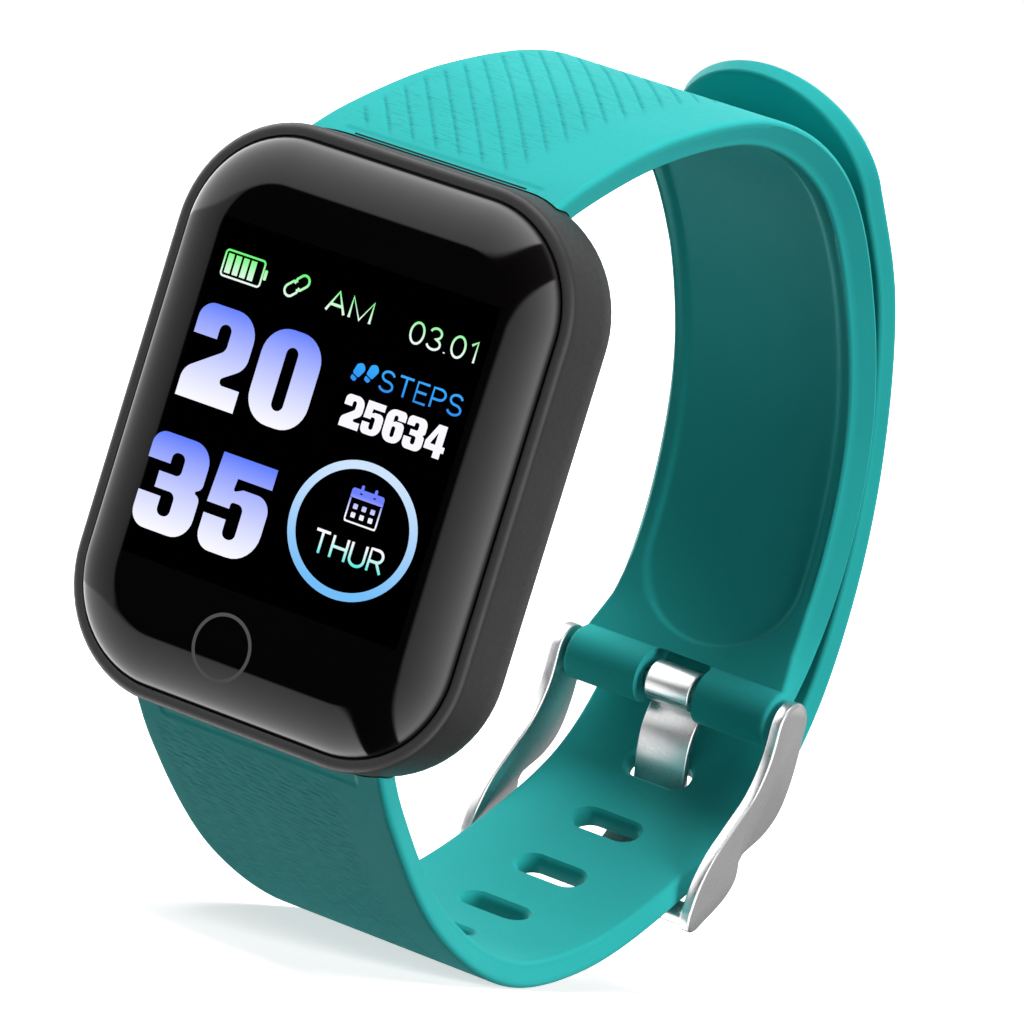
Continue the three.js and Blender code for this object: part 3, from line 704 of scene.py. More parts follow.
def upper_lines(x, s):
    """Diagonal incised lines broken into dashes, 0 to 1, on the strap above the case."""
    across = (x * math.cos(LINE_ANGLE) + s * math.sin(LINE_ANGLE)) / LINE_PITCH
    along = (-x * math.sin(LINE_ANGLE) + s * math.cos(LINE_ANGLE)) / 1.05
    away = np.abs(across - np.round(across)) * LINE_PITCH
    line = 1 - smoothstep(0.05, 0.17, away)
    dash = smoothstep(0.08, 0.2, np.abs(np.mod(along + 0.37 * np.round(across), 1) - 0.5) + 0.08)
    return line * (0.35 + 0.65 * dash) * upper_zone(x, s)


def zone(x, s, left, right, end):
    """1 where a pattern lies, 0 round it. left, right and end say where its edges start and stop fading."""
    across = smoothstep(*left, x) * (1 - smoothstep(*right, x))
    return across * smoothstep(3.6, 5.2, s) * (1 - smoothstep(*end, s))


def upper_zone(x, s):
    return zone(x, s, (-10.4, -9.6), (4.6, 6.6), (34, 58))


def lower_lines(x, s):
    """Short strokes across the strap below the case."""
    tilt = math.radians(8)
    across = (s * math.cos(tilt) - x * math.sin(tilt)) / 0.62
    along = (x * math.cos(tilt) + s * math.sin(tilt)) / 2.3
    row = np.round(across)
    away = np.abs(across - row) * 0.62
    line = 1 - smoothstep(0.03, 0.15, away)
    phase = np.mod(np.sin(row * 12.9898) * 43758.5453, 1)
    dash = smoothstep(0.1, 0.25, np.abs(np.mod(along + phase, 1) - 0.5) + 0.02)
    return line * dash * lower_zone(x, s)


def lower_zone(x, s):
    return zone(x, s, (-10.6, -9.8), (6.2, 8.2), (34, 56))


def place_attributes(item, line, zone, lines):
    """Writes where each point is on the strap, for the silicone material."""
    mesh = item.data
    places = np.empty(len(mesh.vertices) * 3)
    mesh.vertices.foreach_get("co", places)
    places = places.reshape(-1, 3) / MM
    s = line.nearest(places[:, 1:])
    offset = places[:, 1:] - line.place(s)
    level = (offset * line.normal(s)).sum(-1)
    outer = level > 0.35
    spot = np.stack([places[:, 0], s, level], -1)
    for name, kind, values in (
        ("strap_place", "FLOAT_VECTOR", spot.ravel()),
        ("incised", "FLOAT", lines(places[:, 0], s) * outer),
        ("textured", "FLOAT", zone(places[:, 0], s) * outer),
    ):
        old = mesh.attributes.get(name)
        if old:
            mesh.attributes.remove(old)
        attribute = mesh.attributes.new(name, kind, "POINT")
        key = "vector" if kind == "FLOAT_VECTOR" else "value"
        attribute.data.foreach_set(key, values.astype(np.float32))


def ledge(x, s, half):
    """Shallow step in a strap's outer face next to the case."""
    return LEDGE_DEPTH * (1 - smoothstep(3.4, 3.8, s)) * (1 - smoothstep(0, 0.25, np.abs(x) - (half - 2.6)))


def case_cutter():
    rows = [(-CLEARANCE, CASE_FRONT - 1)] + tuck_profile(CLEARANCE)
    return loft("case_cutter", [case_ring(inset, y) for inset, y in rows])


def spaced(*spans):
    """Stations along a strap: each span is (start, end, step)."""
    parts = [np.arange(a, b, step) for a, b, step in spans]
    return np.unique(np.concatenate(parts).round(4))


RECESS = {"half": 7.7, "start": 30.0, "end": 89.2, "depth": 0.32, "crown": 0.3}


def recess_depth(x, s):
    """Shallow panel with rounded ends, pressed into the inside of the upper strap."""
    run = s - np.clip(s, RECESS["start"], RECESS["end"])
    inside = RECESS["half"] - np.sqrt(x**2 + run**2)
    crown = RECESS["crown"] * smoothstep(RECESS["half"] + 0.2, 10, np.abs(x)) * smoothstep(6, 20, s)
    return RECESS["depth"] * smoothstep(-0.05, 0.4, inside) + crown * (1 - smoothstep(88, 94, s))


def build_upper_strap(material):
    line = MidLine(UPPER_LINE, 1, LUG_RADIUS)
    pin = line.length - LUG_RADIUS
    ends = pin + LUG_RADIUS * np.sin(np.linspace(-math.pi / 2, math.pi / 2, 40))
    stations = spaced((0.5, 60, 0.16), (60, pin - 6, 0.4), (pin - 6, pin - LUG_RADIUS, 0.15))
    stations = np.unique(np.concatenate([stations, np.clip(ends, 0, line.length - 0.004)]))

    def thick(s):
        circle = np.sqrt(np.maximum(LUG_RADIUS**2 - (s - pin) ** 2, 0.0004))
        plain = table(UPPER_THICK, s)
        inner = np.where(s < pin, smooth_max(plain, circle, 0.9), circle)
        outer = np.where(s < pin, smooth_max(plain, circle, 0.5), circle)
        return outer, inner

    def sink(x, s, face, half):
        if face < 0:
            return recess_depth(x, s)
        return ledge(x, s, half) + UPPER_LINE_DEPTH * upper_lines(x, s)

    shape = {"sink": sink}
    points, faces = strap_grid(line, stations, UPPER_OUTER, UPPER_INNER, thick, shape)
    item = new_object("strap_upper", points, faces, crease=40)
    boolean(item, case_cutter())
    notch = ring(2 * NOTCH_HALF, 8, 0.5, PIN_Z - 1.4, 6, 2)
    boolean(item, loft("notch", [(PIN_Y - 6, notch), (PIN_Y + 6, notch)]))
    boolean(item, cylinder("bore", TUBE_HIGH[2] - PIN_Z + CLEARANCE, -12, 12, "X", (PIN_Y, PIN_Z)))
    mark_sharp_edges(item.data, STRAP_CREASE)
    place_attributes(item, line, upper_zone, upper_lines)
    finish_piece(item, material, "band", ["upper_strap"])


def slot_cutter(line, distance):
    """A slot with softened mouths, square to the strap."""
    spot = line.place(np.array([distance]))[0]
    along = line.tangent(np.array([distance]))[0]
    out = line.normal(np.array([distance]))[0]
    half = float(table(LOWER_THICK, distance))
    rings = []
    levels = (-2.6, -half, 0.12 - half, 0.4 - half, half - 0.4, half - 0.12, half, 2.6)
    for level, grow in zip(levels, (1.5, 0.34, 0.2, 0, 0, 0.2, 0.34, 1.5)):
        width = SLOT["width"] + 2 * grow
        outline = ring(SLOT["length"] + 2 * grow, width, width / 2 - 0.02, 0, 9, 2)
        rings.append([(x, *(spot + along * u + out * level)) for x, u in outline])
    return stack("slot", rings)


def build_lower_strap(material):
    line = MidLine(LOWER_LINE, -1)
    tip_start = line.length - TIP_LENGTH
    tip = tip_start + TIP_LENGTH * np.sin(np.linspace(0, math.pi / 2, 34))
    stations = spaced((0.5, 58, 0.16), (58, tip_start, 0.4))
    stations = np.unique(np.concatenate([stations, np.minimum(tip, line.length - 0.001)]))

    def thick(s):
        plain = table(LOWER_THICK, s)
        return plain, plain

    def sink(x, s, face, half):
        if face < 0:
            return 0 * s
        return ledge(x, s, half) + LOWER_LINE_DEPTH * lower_lines(x, s)

    shape = {"sink": sink, "tip": True}
    points, faces = strap_grid(line, stations, LOWER_OUTER, LOWER_INNER, thick, shape, under=40)
    item = new_object("strap_lower", points, faces, crease=40)
    boolean(item, case_cutter())
    cutters = [slot_cutter(line, SLOT["first"] + i * SLOT["pitch"]) for i in range(SLOT["count"])]
    boolean(item, joined("slots", cutters))
    mark_sharp_edges(item.data, STRAP_CREASE)
    place_attributes(item, line, lower_zone, lower_lines)
    finish_piece(item, material, "band", ["lower_strap"])


# Buckle


def side_plate(name, outline, left, right, edge):
    """An outline in the YZ plane, as thick as from left to right, with rounded edges."""
    item = stack(name, [[(x, y, z) for y, z in outline] for x in (left, right)])
    return bevel(item, edge, 3, 50)


def arm_outline():
    """Round eye at the pin, then an S-curve down to the crossbar, with the small step of the real arm."""
    points = arc_points(PIN_Y, PIN_Z, ARM_EYE, ARM_EYE, 0, 180, 24)
    runs = [
        [(PIN_Y - ARM_EYE, PIN_Z), (53.6, -17.6), (52.8, -20.6), (50.8, -23.6), (49.1, -26.2), (48.2, -28.8),
         (48, -31)],
        [(48, -31), (48.2, -31.9), (48.9, -32.5), (49.7, -32.3), (50.5, -31.6)],
        [(50.5, -31.6), (51.7, -30.6), (53.1, -29.2), (53.8, -27.7), (53.65, -26.6), (53.5, -26.1)],
        [(53.5, -26.1), (53.75, -25.5), (54.4, -25), (56.3, -23.6), (57.7, -21.6), (58.15, -18.6),
         (PIN_Y + ARM_EYE, PIN_Z)],
    ]
    for run in runs:
        points += [tuple(place) for place in catmull_rom(run, 7)[1:]]
    return points[:-1]


def crossbar(outer):
    """Rounded bar between the arms' tips."""
    turn = CROSSBAR["turn"]
    profile = ring(CROSSBAR["width"], CROSSBAR["thickness"], 0.55, 0, 6, 3)
    ends = [(-outer + 0.4, 0.9), (-outer + 0.6, 1), (outer - 0.6, 1), (outer - 0.4, 0.9)]
    rings = []
    for x, size in ends:
        outline = moved(profile, CROSSBAR["y"], CROSSBAR["z"], size, size, turn)
        rings.append([(x, y, z) for y, z in outline])
    return stack("bar", rings)


def build_buckle(material):
    outer, inner = ARM_OUTER, ARM_INNER
    outline = arm_outline()
    right = side_plate("arm_right", outline, inner, outer, ARM_EDGE)
    left = side_plate("arm_left", outline, -outer, -inner, ARM_EDGE)
    item = joined("buckle_frame_metal", [left, right])
    boolean(item, crossbar(outer), "UNION")
    for side in (-1, 1):
        tip = node_box("spring_bar_pin_right")[1][0] + 0.1
        ends = sorted((side * (inner - 1), side * tip))
        boolean(item, cylinder("tip_hole", 0.58, ends[0], ends[1], "X", (PIN_Y, PIN_Z), 28))
    mark_sharp_edges(item.data, 32)
    finish_piece(item, material, "buckle", ["buckle_frame"])


def curl_gap():
    """Thin gap between the curled end of the prong's sheet and the tongue."""
    angle = math.radians(222)
    out = Vector((math.cos(angle), math.sin(angle)))
    side = Vector((-out.y, out.x))
    outline = []
    for reach, half in ((1.25, -0.07), (2.6, -0.07), (2.6, 0.07), (1.25, 0.07)):
        spot = out * reach + side * half
        outline.append((PIN_Y + spot.x, PIN_Z + spot.y))
    return stack("gap", [[(x, y, z) for y, z in outline] for x in (-4, 4)])


def build_prong(material):
    line = MidLine(PRONG_LINE, -1)
    stations = np.linspace(0, line.length, 70)
    share = stations / line.length
    half = 2.5 * (1 - 0.3 * np.clip(share - 0.7, 0, 1) / 0.3)
    rise = 0.35
    edge = 0.16
    profile = []
    for sx, sn, start in ((1, 1, 0), (-1, 1, 90), (-1, -1, 180), (1, -1, 270)):
        for i in range(5):
            angle = math.radians(start + 90 * i / 4)
            profile.append((sx, edge * (math.cos(angle) - sx), sn * (rise - edge) + edge * math.sin(angle)))
    spot, out = line.place(stations), line.normal(stations)
    rings = []
    for k in range(len(stations)):
        trim = 0.12 * max(0, 2 - min(k, len(stations) - 1 - k))
        points = []
        for sx, dx, n in profile:
            place = spot[k] + out[k] * n * (1 - trim)
            points.append((sx * half[k] + dx - sx * trim * 0.5, place[0], place[1]))
        rings.append(points)
    item = stack("buckle_prong_metal", rings)
    half = BARREL["half"]
    barrel = cylinder("barrel", BARREL["radius"], -half, half, "X", (PIN_Y, PIN_Z), 64, BARREL["edge"])
    boolean(item, barrel, "UNION")
    boolean(item, cylinder("bore", BARREL["bore"], -4, 4, "X", (PIN_Y, PIN_Z), 40))
    boolean(item, curl_gap())
    mark_sharp_edges(item.data, 32)
    finish_piece(item, material, "prong", ["buckle_prong"])


# Back of the case

SCREWS = ["rear_screw_1", "rear_screw_2", "rear_screw_3", "rear_screw_4"]
CONTACTS = ["charge_contact_left", "charge_contact_right"]


def build_rear_cover():
    width, height = COVER_HIGH[0] - COVER_LOW[0], COVER_HIGH[2] - COVER_LOW[2]
    corner = 7.7
    front, back, face = COVER_LOW[1], -1.6, COVER_HIGH[1]
    rings = []
    for inset, y in ((0, front), (0, back - 0.3), (0.04, back - 0.16), (0.13, back - 0.05), (0.28, back)):
        rings.append((y, ring(width - 2 * inset, height - 2 * inset, corner - inset)))
    plate = loft("back_cover", rings, crease=40)
    boss = [
        (9.0, back - 0.2), (8.4, back + 0.02), (8.0, back + 0.16), (7.75, back + 0.4), (7.6, back + 0.8),
        (7.5, face - 0.14), (7.42, face - 0.04), (7.3, face),
    ]
    rings = [round_ring(radius, y, sides=72) for radius, y in boss]
    boolean(plate, stack("boss", rings), "UNION")
    boolean(plate, cylinder("window_hole", 5.3, front - 1, 1, "Y", (0, 0), 72))
    screw_bores = ((0.7, -4, 24), (1.1, -2.25, 32))
    contact_bores = ((1.35, -4, 32),)
    for names, bores in ((SCREWS, screw_bores), (CONTACTS, contact_bores)):
        for name in names:
            low, high = node_box(name)
            centre = ((low[0] + high[0]) / 2, (low[2] + high[2]) / 2)
            for radius, depth, sides in bores:
                boolean(plate, cylinder("bore", radius, depth, 0, "Y", centre, sides))
    mark_sharp_edges(plate.data, 30)
    material = speckled(
        "cover_plastic", (0.016, 0.016, 0.017), (0.022, 0.022, 0.023), 0.5, scale=2200, grain=0.00003
    )
    finish_piece(plate, material, "band", ["rear_cover"])


def build_window():
    """Slightly domed lens over the pulse sensor, dark but letting its green light through."""
    radius = WINDOW_HIGH[0]
    back, front = WINDOW_HIGH[1], WINDOW_LOW[1]
    rows = [(radius, front), (radius, back - 0.3), (radius - 0.05, back - 0.2)]
    for i in range(1, 11):
        r = (radius - 0.05) * (1 - i / 10.5)
        rows.append((r, back - 0.2 * (r / radius) ** 2))
    item = stack("sensor_lens", [round_ring(r, y, sides=64) for r, y in rows])
    nodes = Nodes("lens_glass")
    broad = nodes.noise(300, 1.0)
    rough = nodes.ramp(broad, 0.3, 0.7, 0.03, 0.05)
    nodes.set(Base_Color=(0.10, 0.14, 0.12, 1), Roughness=rough, Transmission_Weight=0.85, IOR=1.49)
    finish_piece(item, nodes.material, "band", ["sensor_window"])


def soften_small_nodes():
    """Rounds the edges of the small metal pieces on the back."""
    for name in SCREWS + CONTACTS:
        item = frame["nodes"][name]
        for polygon in item.data.polygons:
            polygon.use_smooth = True
        weld = item.modifiers.new("weld", "WELD")
        weld.merge_threshold = 0.000001
        rounding = item.modifiers.new("bevel", "BEVEL")
        rounding.width = 0.00006
        rounding.segments = 2
        rounding.limit_method = "ANGLE"
        rounding.angle_limit = math.radians(40)
        rounding.harden_normals = True


# Display graphics

# Heavy digits: outlines of corners (x, y, radius) in a box of this size
GLYPH_WIDTH, GLYPH_HEIGHT = 100, 140
GLYPHS = {
    "0": [[(0, 0, 42), (0, 140, 42), (100, 140, 42), (100, 0, 42)],
          [(40, 24, 10), (60, 24, 10), (60, 116, 10), (40, 116, 10)]],
    "2": [[(0, 0, 0), (0, 40, 26), (60, 80, 14), (60, 116, 10), (40, 116, 10), (40, 92, 0), (0, 92, 0),
           (0, 140, 44), (100, 140, 44), (100, 64, 28), (50, 32, 6), (100, 32, 0), (100, 0, 0)]],
    "3": [[(0, 140, 44), (100, 140, 44), (100, 76, 18), (84, 71, 3), (100, 66, 18), (100, 0, 44), (0, 0, 44),
           (0, 50, 0), (38, 50, 0), (38, 24, 10), (60, 24, 10), (60, 60, 10), (24, 60, 0), (24, 84, 0),
           (60, 84, 8), (60, 116, 10), (38, 116, 10), (38, 98, 0), (0, 98, 0)]],
    "4": [[(52, 0, 0), (88, 0, 0), (88, 28, 0), (102, 28, 0), (102, 54, 0), (88, 54, 0), (88, 140, 0),
           (44, 140, 0), (0, 60, 0), (0, 28, 0), (52, 28, 0)],
          [(52, 54, 0), (26, 54, 0), (52, 106, 0)]],
    "5": [[(0, 66, 0), (4, 140, 0), (96, 140, 0), (96, 110, 0), (38, 110, 0), (36, 90, 3), (52, 97, 6),
           (100, 97, 32), (100, 0, 44), (0, 0, 44), (0, 50, 0), (38, 50, 0), (38, 24, 10), (60, 24, 10),
           (60, 76, 10), (38, 76, 8), (38, 66, 0)]],
    "6": [[(0, 0, 42), (0, 140, 42), (100, 140, 42), (100, 98, 0), (60, 98, 0), (60, 116, 9), (40, 116, 9),
           (40, 86, 2), (54, 92, 6), (100, 92, 30), (100, 0, 42)],
          [(40, 24, 10), (60, 24, 10), (60, 70, 10), (40, 70, 10)]],
}


def rounded(corners, steps=8):
    """Outline points of a polygon whose corners (x, y, radius) are rounded."""
    points = []
    count = len(corners)
    for i, (x, y, radius) in enumerate(corners):
        here = Vector((x, y))
        before = Vector(corners[i - 1][:2]) - here
        after = Vector(corners[(i + 1) % count][:2]) - here
        if radius <= 0:
            points.append((x, y))
            continue
        angle = before.angle(after)
        reach = min(radius / math.tan(angle / 2), before.length * 0.5, after.length * 0.5)
        radius = reach * math.tan(angle / 2)
        bisector = (before.normalized() + after.normalized()).normalized()
        centre = here + bisector * (radius / math.sin(angle / 2))
        start = here + before.normalized() * reach - centre
        end = here + after.normalized() * reach - centre
        sweep = start.angle_signed(end)
        for k in range(steps + 1):
            turn = -sweep * k / steps
            c, s = math.cos(turn), math.sin(turn)
            points.append((centre.x + start.x * c - start.y * s, centre.y + start.x * s + start.y * c))
    return points


def circle_loop(x, z, radius, squeeze=1.0):
    return arc_points(x, z, radius * squeeze, radius, 0, 360, 72)[:-1]


def moved(loop, x, z, scale_x=1.0, scale_z=None, turn=0.0):
    """The loop scaled, turned by an angle in radians and shifted."""
    scale_z = scale_x if scale_z is None else scale_z
    c, s = math.cos(turn), math.sin(turn)
    result = []
    for px, pz in loop:
        px, pz = px * scale_x, pz * scale_z
        result.append((x + px * c - pz * s, z + px * s + pz * c))
    return result


def add_splines(curve, lines, closed):
    for line in lines:
        spline = curve.splines.new("POLY")
        spline.points.add(len(line) - 1)
        for point, (x, z) in zip(spline.points, line):
            point.co = (x * MM, z * MM, 0, 1)
        spline.use_cyclic_u = closed


def flat_shape(name, loops):
    """Thin filled shape on the display, from closed loops of (x, z); a loop inside another is a hole."""
    curve = bpy.data.curves.new(name, "CURVE")
    curve.dimensions = "2D"
    curve.fill_mode = "BOTH"
    curve.extrude = 0.004 * MM
    add_splines(curve, loops, True)
    return stand_on_screen(name, curve)


def stand_on_screen(name, curve):
    """Mesh of a flat curve, stood up in the plane of the display."""
    carrier = placed(name + "_curve", curve)
    graph = bpy.context.evaluated_depsgraph_get()
    graph.update()
    mesh = bpy.data.meshes.new_from_object(carrier.evaluated_get(graph))
    bpy.data.objects.remove(carrier)
    stand = Matrix.Rotation(math.pi / 2, 4, "X")
    mesh.transform(Matrix.Translation((0, SCREEN_Y * MM, 0)) @ stand)
    mesh.name = name
    return placed(name, mesh)


def digits(text, x, z, width, height, gap):
    """Outlines of heavy digits, the first with its lower left corner at x, z."""
    loops = []
    for k, letter in enumerate(text):
        for corners in GLYPHS[letter]:
            loop = rounded(corners)
            start = x + k * (width + gap)
            loops.append(moved(loop, start, z, width / GLYPH_WIDTH, height / GLYPH_HEIGHT))
    return loops


def loop_of_p():
    return [(0, 0), (0, 1)] + arc_points(0.3, 0.73, 0.24, 0.27, 90, -90) + [(0, 0.46)]


# Thin capitals and digits: width, and the strokes of each, in a box one unit tall
STROKES = {
    "A": (0.70, [[(0, 0), (0.35, 1), (0.70, 0)], [(0.12, 0.34), (0.58, 0.34)]]),
    "M": (0.80, [[(0, 0), (0, 1), (0.4, 0.02), (0.8, 1), (0.8, 0)]]),
    "S": (0.58, [arc_points(0.29, 0.75, 0.25, 0.25, 15, 270)
                 + arc_points(0.29, 0.25, 0.28, 0.25, 90, -165)]),
    "T": (0.60, [[(0, 1), (0.6, 1)], [(0.3, 1), (0.3, 0)]]),
    "E": (0.50, [[(0.5, 1), (0, 1), (0, 0), (0.5, 0)], [(0, 0.52), (0.45, 0.52)]]),
    "P": (0.54, [loop_of_p()]),
    "H": (0.62, [[(0, 0), (0, 1)], [(0.62, 0), (0.62, 1)], [(0, 0.52), (0.62, 0.52)]]),
    "U": (0.62, [[(0, 1)] + arc_points(0.31, 0.31, 0.31, 0.31, 180, 360) + [(0.62, 1)]]),
    "R": (0.58, [loop_of_p(), [(0.33, 0.46), (0.58, 0)]]),
    "0": (0.54, [arc_points(0.27, 0.5, 0.27, 0.5, 0, 360, 32)]),
    "1": (0.34, [[(0.04, 0.78), (0.26, 1), (0.26, 0)]]),
    "3": (0.54, [arc_points(0.27, 0.75, 0.23, 0.25, 165, -90)
                 + arc_points(0.27, 0.25, 0.27, 0.25, 90, -165)]),
    ".": (0.06, [[(0.03, 0), (0.03, 0.05)]]),
}
LETTER_GAP = 0.2


def line_drawing(name, strokes, thickness):
    """Flat round-ended strokes on the display, each a list of (x, z)."""
    curve = bpy.data.curves.new(name, "CURVE")
    curve.dimensions = "3D"
    curve.bevel_depth = thickness / 2 * MM
    curve.bevel_resolution = 2
    curve.use_fill_caps = True
    add_splines(curve, strokes, False)
    item = stand_on_screen(name, curve)
    for vertex in item.data.vertices:
        vertex.co.y = SCREEN_Y * MM + (vertex.co.y - SCREEN_Y * MM) * 0.1
    return item


def lettering(name, text, x, z, width, height, thickness=0.19):
    """Thin plain capitals that fill a box whose lower left corner is at x, z."""
    full = sum(STROKES[letter][0] for letter in text) + LETTER_GAP * (len(text) - 1)
    scale_x = (width - thickness) / full
    scale_z = height - thickness
    start, strokes = 0.0, []
    for letter in text:
        advance, parts = STROKES[letter]
        for part in parts:
            shifted = [(start + u, v) for u, v in part]
            strokes.append(moved(shifted, x + thickness / 2, z + thickness / 2, scale_x, scale_z))
        start += advance + LETTER_GAP
    return line_drawing(name, strokes, thickness)


def frame_loops(x, z, width, height, corner, line):
    """Outer and inner outline of a rounded frame centred at x, z."""
    outer = bar_loop(x - width / 2, z - height / 2, width, height, corner, 8)
    width, height = width - 2 * line, height - 2 * line
    return [outer, bar_loop(x - width / 2, z - height / 2, width, height, max(corner - line, 0.05), 8)]


def bar_loop(left, bottom, width, height, corner=0.0, steps=4):
    return rounded([(left, bottom, corner), (left, bottom + height, corner),
                    (left + width, bottom + height, corner), (left + width, bottom, corner)], steps)


def screen_piece(item, material):
    finish_piece(item, material, "band")


BLUE = (0.13, 0.22, 1.0)
WHITE = (0.95, 0.95, 1.0)
GREEN = (0.16, 0.95, 0.20)
CYAN = (0.12, 0.85, 0.75)


def battery_icon():
    loops = frame_loops(-10.1, 11.0, 3.85, 2.2, 0.35, 0.16)
    loops.append(bar_loop(-8.13, 10.62, 0.28, 0.8, 0.1))
    for i in range(4):
        loops.append(bar_loop(-11.68 + 0.72 * i, 10.24, 0.52, 1.54))
    return loops


def link_icon():
    """Two open chain links, drawn with strokes."""
    half = [(0.2, 0.24), (-0.08, 0.4), (-0.62, 0.4)] + arc_points(-0.62, 0, 0.4, 0.4, 90, 270)
    half += [(-0.22, -0.4), (0.1, -0.22)]
    turn = math.radians(42)
    first = moved(half, -5.0, 11.05, 1.15, 1.15, turn)
    second = moved([(-u, -v) for u, v in half], -5.0, 11.05, 1.15, 1.15, turn)
    return [first, second]


def shoe_print(x, z, turn):
    sole = rounded([(-0.42, -0.1, 0.2), (-0.55, 0.8, 0.4), (-0.1, 1.25, 0.4), (0.5, 0.9, 0.4),
                    (0.36, -0.1, 0.2)])
    heel = rounded([(-0.3, -0.62, 0.2), (-0.36, -0.22, 0.08), (0.3, -0.22, 0.08), (0.26, -0.62, 0.2)])
    return [moved(sole, x, z, 0.86, 0.86, turn), moved(heel, x, z, 0.86, 0.86, turn)]


def calendar_loops(x, z):
    head = rounded([(-1.5, 0.55, 0.0), (-1.5, 1.3, 0.25), (1.5, 1.3, 0.25), (1.5, 0.55, 0.0)])
    loops = [moved(head, x, z)]
    left = bar_loop(-1.5, -1.1, 0.14, 1.6)
    right = bar_loop(1.36, -1.1, 0.14, 1.6)
    floor = rounded([(-1.5, -1.12, 0), (-1.36, -1.12, 0), (-1.28, -1.22, 0.05), (1.28, -1.22, 0.05),
                     (1.36, -1.12, 0), (1.5, -1.12, 0), (1.42, -1.36, 0.12), (-1.42, -1.36, 0.12)], 4)
    for loop in (left, right, floor):
        loops.append(moved(loop, x, z))
    for column in (-0.8, 0, 0.8):
        for row in (-0.05, -0.72):
            loops.append(bar_loop(x + column - 0.2, z + row - 0.2, 0.4, 0.4, 0.06))
    for side in (-0.62, 0.62):
        loops.append(bar_loop(x + side - 0.13, z + 0.9, 0.26, 0.75, 0.12))
    return loops


def build_screen():
    big = glow("light_digits_top", WHITE, BLUE, 0.4, 7.9)
    screen_piece(flat_shape("screen_digits_top", digits("20", -12.7, 0.2, 5.5, 7.6, 0.85)), big)
    big = glow("light_digits_bottom", WHITE, BLUE, -10.1, -2.8)
    screen_piece(flat_shape("screen_digits_bottom", digits("35", -13.35, -10.3, 5.55, 7.6, 0.7)), big)
    steps = glow("light_count", WHITE, WHITE, 0, 1)
    screen_piece(flat_shape("screen_count", digits("25634", 2.1, 2.1, 1.78, 2.55, 0.16)), steps)
    green = glow("light_status", WHITE, GREEN, 9.6, 11.9)
    screen_piece(flat_shape("screen_battery", battery_icon()), green)
    screen_piece(line_drawing("screen_link", link_icon(), 0.2), green)
    screen_piece(lettering("screen_half_of_day", "AM", -2.08, 9.95, 4.3, 1.85, 0.23), green)
    screen_piece(lettering("screen_date", "03.01", 5.75, 9.7, 6.35, 1.8), green)
    blue = glow("light_steps", (0.03, 0.25, 0.85), (0.04, 0.42, 1.0), 5.4, 7.4)
    prints = shoe_print(2.35, 6.15, -0.42) + shoe_print(3.55, 6.35, -0.42)
    screen_piece(flat_shape("screen_foot_prints", prints), blue)
    screen_piece(lettering("screen_steps_word", "STEPS", 4.45, 5.55, 7.7, 1.7), blue)
    ring_light = glow("light_ring", (0.18, 0.52, 0.95), (0.62, 0.78, 0.98), -9.5, -0.5)
    loops = [circle_loop(6.05, -5.13, reach, squeeze=1.08) for reach in (5.35, 4.68)]
    screen_piece(flat_shape("screen_day_ring", loops), ring_light)
    calendar = glow("light_calendar", WHITE, (0.16, 0.22, 1.0), -4.2, -2.4)
    screen_piece(flat_shape("screen_calendar", calendar_loops(6.5, -3.25)), calendar)
    day = glow("light_day", CYAN, WHITE, -7.6, -6.0)
    screen_piece(lettering("screen_day", "THUR", 2.95, -7.7, 6.6, 1.95, 0.23), day)
    # Painted light: the key ring print glows faint grey, lighter towards its top, instead of being lit
    key = glow("key_mark_painted_glow", (0.07, 0.07, 0.072), (0.085, 0.085, 0.085), -19.5, -14.3)
    loops = [circle_loop(-2.0, -16.9, 2.68), circle_loop(-2.0, -16.9, 2.4)]
    mark = flat_shape("key_ring_mark", loops)
    for vertex in mark.data.vertices:
        vertex.co.y += (glass_front_at(vertex.co.x / MM, vertex.co.z / MM) - GLASS_FLAT) * MM
    screen_piece(mark, key)


# Camera, floor and light


AZIMUTH, ELEVATION, ROLL = math.radians(30.0), math.radians(4.0), math.radians(-17.13)
VIEW_DIRECTION = (
    math.sin(AZIMUTH) * math.cos(ELEVATION), -math.cos(AZIMUTH) * math.cos(ELEVATION), math.sin(ELEVATION)
)
VIEW_DISTANCE = 574.5
VIEW_TARGET = (18.88, GLASS_FRONT, 0.245)
LENS = 271.0


def add_camera():
    """A long lens from the front right, turned so that the band leans to the right."""
    target, back = Vector(VIEW_TARGET) * MM, Vector(VIEW_DIRECTION)
    right = (-back).cross(Vector((0, 0, 1))).normalized()
    up = right.cross(-back)
    image_right = math.cos(ROLL) * right - math.sin(ROLL) * up
    image_up = math.sin(ROLL) * right + math.cos(ROLL) * up
    data = bpy.data.cameras.new("camera")
    data.lens = LENS
    data.sensor_width = 36.0
    data.clip_start = 0.01
    data.clip_end = 20
    camera = placed("camera", data)
    turn = Matrix((image_right, image_up, back)).transposed().to_4x4()
    camera.matrix_world = Matrix.Translation(target + back * VIEW_DISTANCE * MM) @ turn
    bpy.context.scene.camera = camera


def soft_sun(name, direction, strength, spread):
    """Light from a direction, as wide as spread degrees."""
    data = bpy.data.lights.new(name, "SUN")
    data.energy = strength
    data.angle = math.radians(spread)
    item = placed(name, data)
    item.rotation_mode = "QUATERNION"
    item.rotation_quaternion = Vector(direction).to_track_quat("Z", "Y")
    item.visible_glossy = False


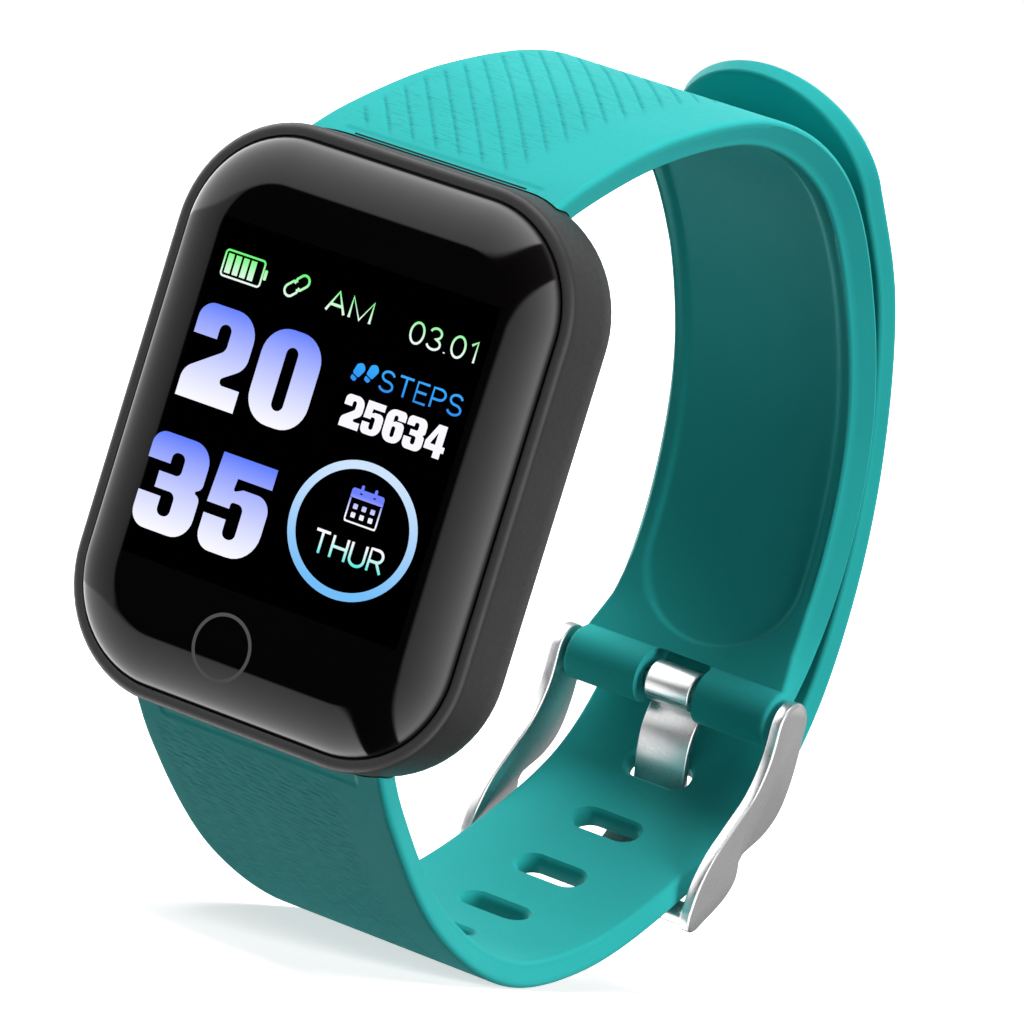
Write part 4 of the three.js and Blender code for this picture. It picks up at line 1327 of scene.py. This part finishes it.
def add_floor():
    """Pale paper. It lights nothing, so that the studio's own lights set every tone."""
    mesh = bpy.data.meshes.new("floor")
    half = 6.0
    z = CAD_LOW.z - 0.0001
    corners = [(-half, -half, z), (half, -half, z), (half, half, z), (-half, half, z)]
    mesh.from_pydata(corners, [], [(0, 1, 2, 3)])
    item = placed("floor", mesh)
    nodes = Nodes("floor_paper")
    broad = nodes.noise(4, 2.0)
    tint = nodes.mix(nodes.ramp(broad, 0.3, 0.7), (0.88, 0.88, 0.88, 1), (0.9, 0.9, 0.9, 1))
    nodes.set(Base_Color=tint, Roughness=0.8, Specular_IOR_Level=0.1)
    nodes.set(Emission_Color=(1, 1, 1, 1), Emission_Strength=0.62)
    mesh.materials.append(nodes.material)
    item.visible_diffuse = False
    item.visible_glossy = False
    item.visible_shadow = False


AMBIENT = 0.035


def add_world():
    """White backdrop, weak even fill, and softboxes for glossy surfaces to mirror.
    A softbox is placed by the direction that a surface faces when the camera sees the box in it."""
    world = bpy.data.worlds.new("studio")
    bpy.context.scene.world = world
    world.use_nodes = True
    nodes = Nodes("studio", world.node_tree)
    direction = nodes.add("ShaderNodeTexCoord").outputs["Generated"]
    total = nodes.add("ShaderNodeVectorMath", {"operation": "ADD"})
    nodes.put(total, "#0", direction)
    nodes.put(total, "#1", VIEW_DIRECTION)
    unit = nodes.add("ShaderNodeVectorMath", {"operation": "NORMALIZE"})
    nodes.put(unit, "#0", total.outputs[0])
    facing = nodes.add("ShaderNodeSeparateXYZ", Vector=unit.outputs[0])
    x, y, z = (facing.outputs[axis] for axis in "XYZ")
    right, left, up, down = (
        nodes.math("MAXIMUM", nodes.math("MULTIPLY", part, sign), 0.0)
        for part, sign in ((x, 1.0), (x, -1.0), (z, 1.0), (z, -1.0))
    )

    def box(main, cuts):
        """Where a surface faces towards main more than the cuts take away."""
        edge = main
        for side, slope in cuts:
            edge = nodes.math("SUBTRACT", edge, nodes.math("MULTIPLY", side, slope))
        return nodes.ramp(edge, 0.05, 0.075)

    top_box = box(up, [(right, 1.2)])
    right_box = box(right, [(up, 1.43), (down, 0.9)])
    bottom_box = box(down, [(right, 1.9), (left, 0.25)])
    left_box = nodes.math("MULTIPLY", box(left, [(down, 0.3)]), 0.55)
    boxes = nodes.math("MULTIPLY", top_box, 1.2)
    for other in (nodes.math("MULTIPLY", right_box, 0.82), bottom_box, left_box):
        boxes = nodes.math("MAXIMUM", boxes, other)
    tilt = nodes.math("POWER", nodes.math("SUBTRACT", 1.0, nodes.math("MULTIPLY", y, y)), 0.75)
    level = nodes.math("ADD", nodes.math("MULTIPLY", tilt, 5.5), 0.8)
    bright = nodes.math("MULTIPLY", boxes, level)
    beyond = nodes.ramp(y, -0.72, -0.5)
    plain = nodes.math("MULTIPLY", beyond, nodes.ramp(z, -0.4, 0.0, 0.15, 0.6))
    mirrored = nodes.math("ADD", nodes.math("MULTIPLY", bright, nodes.math("SUBTRACT", 1.0, beyond)), plain)
    path = nodes.add("ShaderNodeLightPath")
    glossy = path.outputs["Is Glossy Ray"]
    fill = nodes.math("MULTIPLY", nodes.math("SUBTRACT", 1.0, glossy), AMBIENT)
    strength = nodes.math("ADD", nodes.math("MULTIPLY", glossy, mirrored), fill)
    seen = nodes.math("MULTIPLY", path.outputs["Is Camera Ray"], 1.0 - AMBIENT)
    strength = nodes.math("ADD", strength, seen)
    background = world.node_tree.nodes["Background"]
    background.inputs["Color"].default_value = (1, 1, 1, 1)
    nodes.put(background, "Strength", strength)


# Direction, strength and spread in degrees
LIGHTS = {
    "top_light": ((-0.15, 0.1, 0.98), 3.7, 50),
    "right_light": ((0.95, 0.05, 0.3), 2.8, 40),
    "low_light": ((-0.5, -0.5, -0.7), 0.38, 60),
}


def set_view_colours():
    view = bpy.context.scene.view_settings
    view.view_transform = "Standard"
    view.look = "None"


finish_cad_nodes()
build_case()
build_glass()
upper_silicone = silicone("silicone_upper", 0.62)
lower_silicone = silicone("silicone_lower", 0.14)
build_upper_strap(upper_silicone)
build_lower_strap(lower_silicone)
metal = satin_metal("satin_aluminium")
build_buckle(metal)
build_prong(metal)
build_rear_cover()
build_window()
soften_small_nodes()
build_screen()
add_floor()
add_world()
for light_name, light in LIGHTS.items():
    soft_sun(light_name, *light)
add_camera()
set_view_colours()
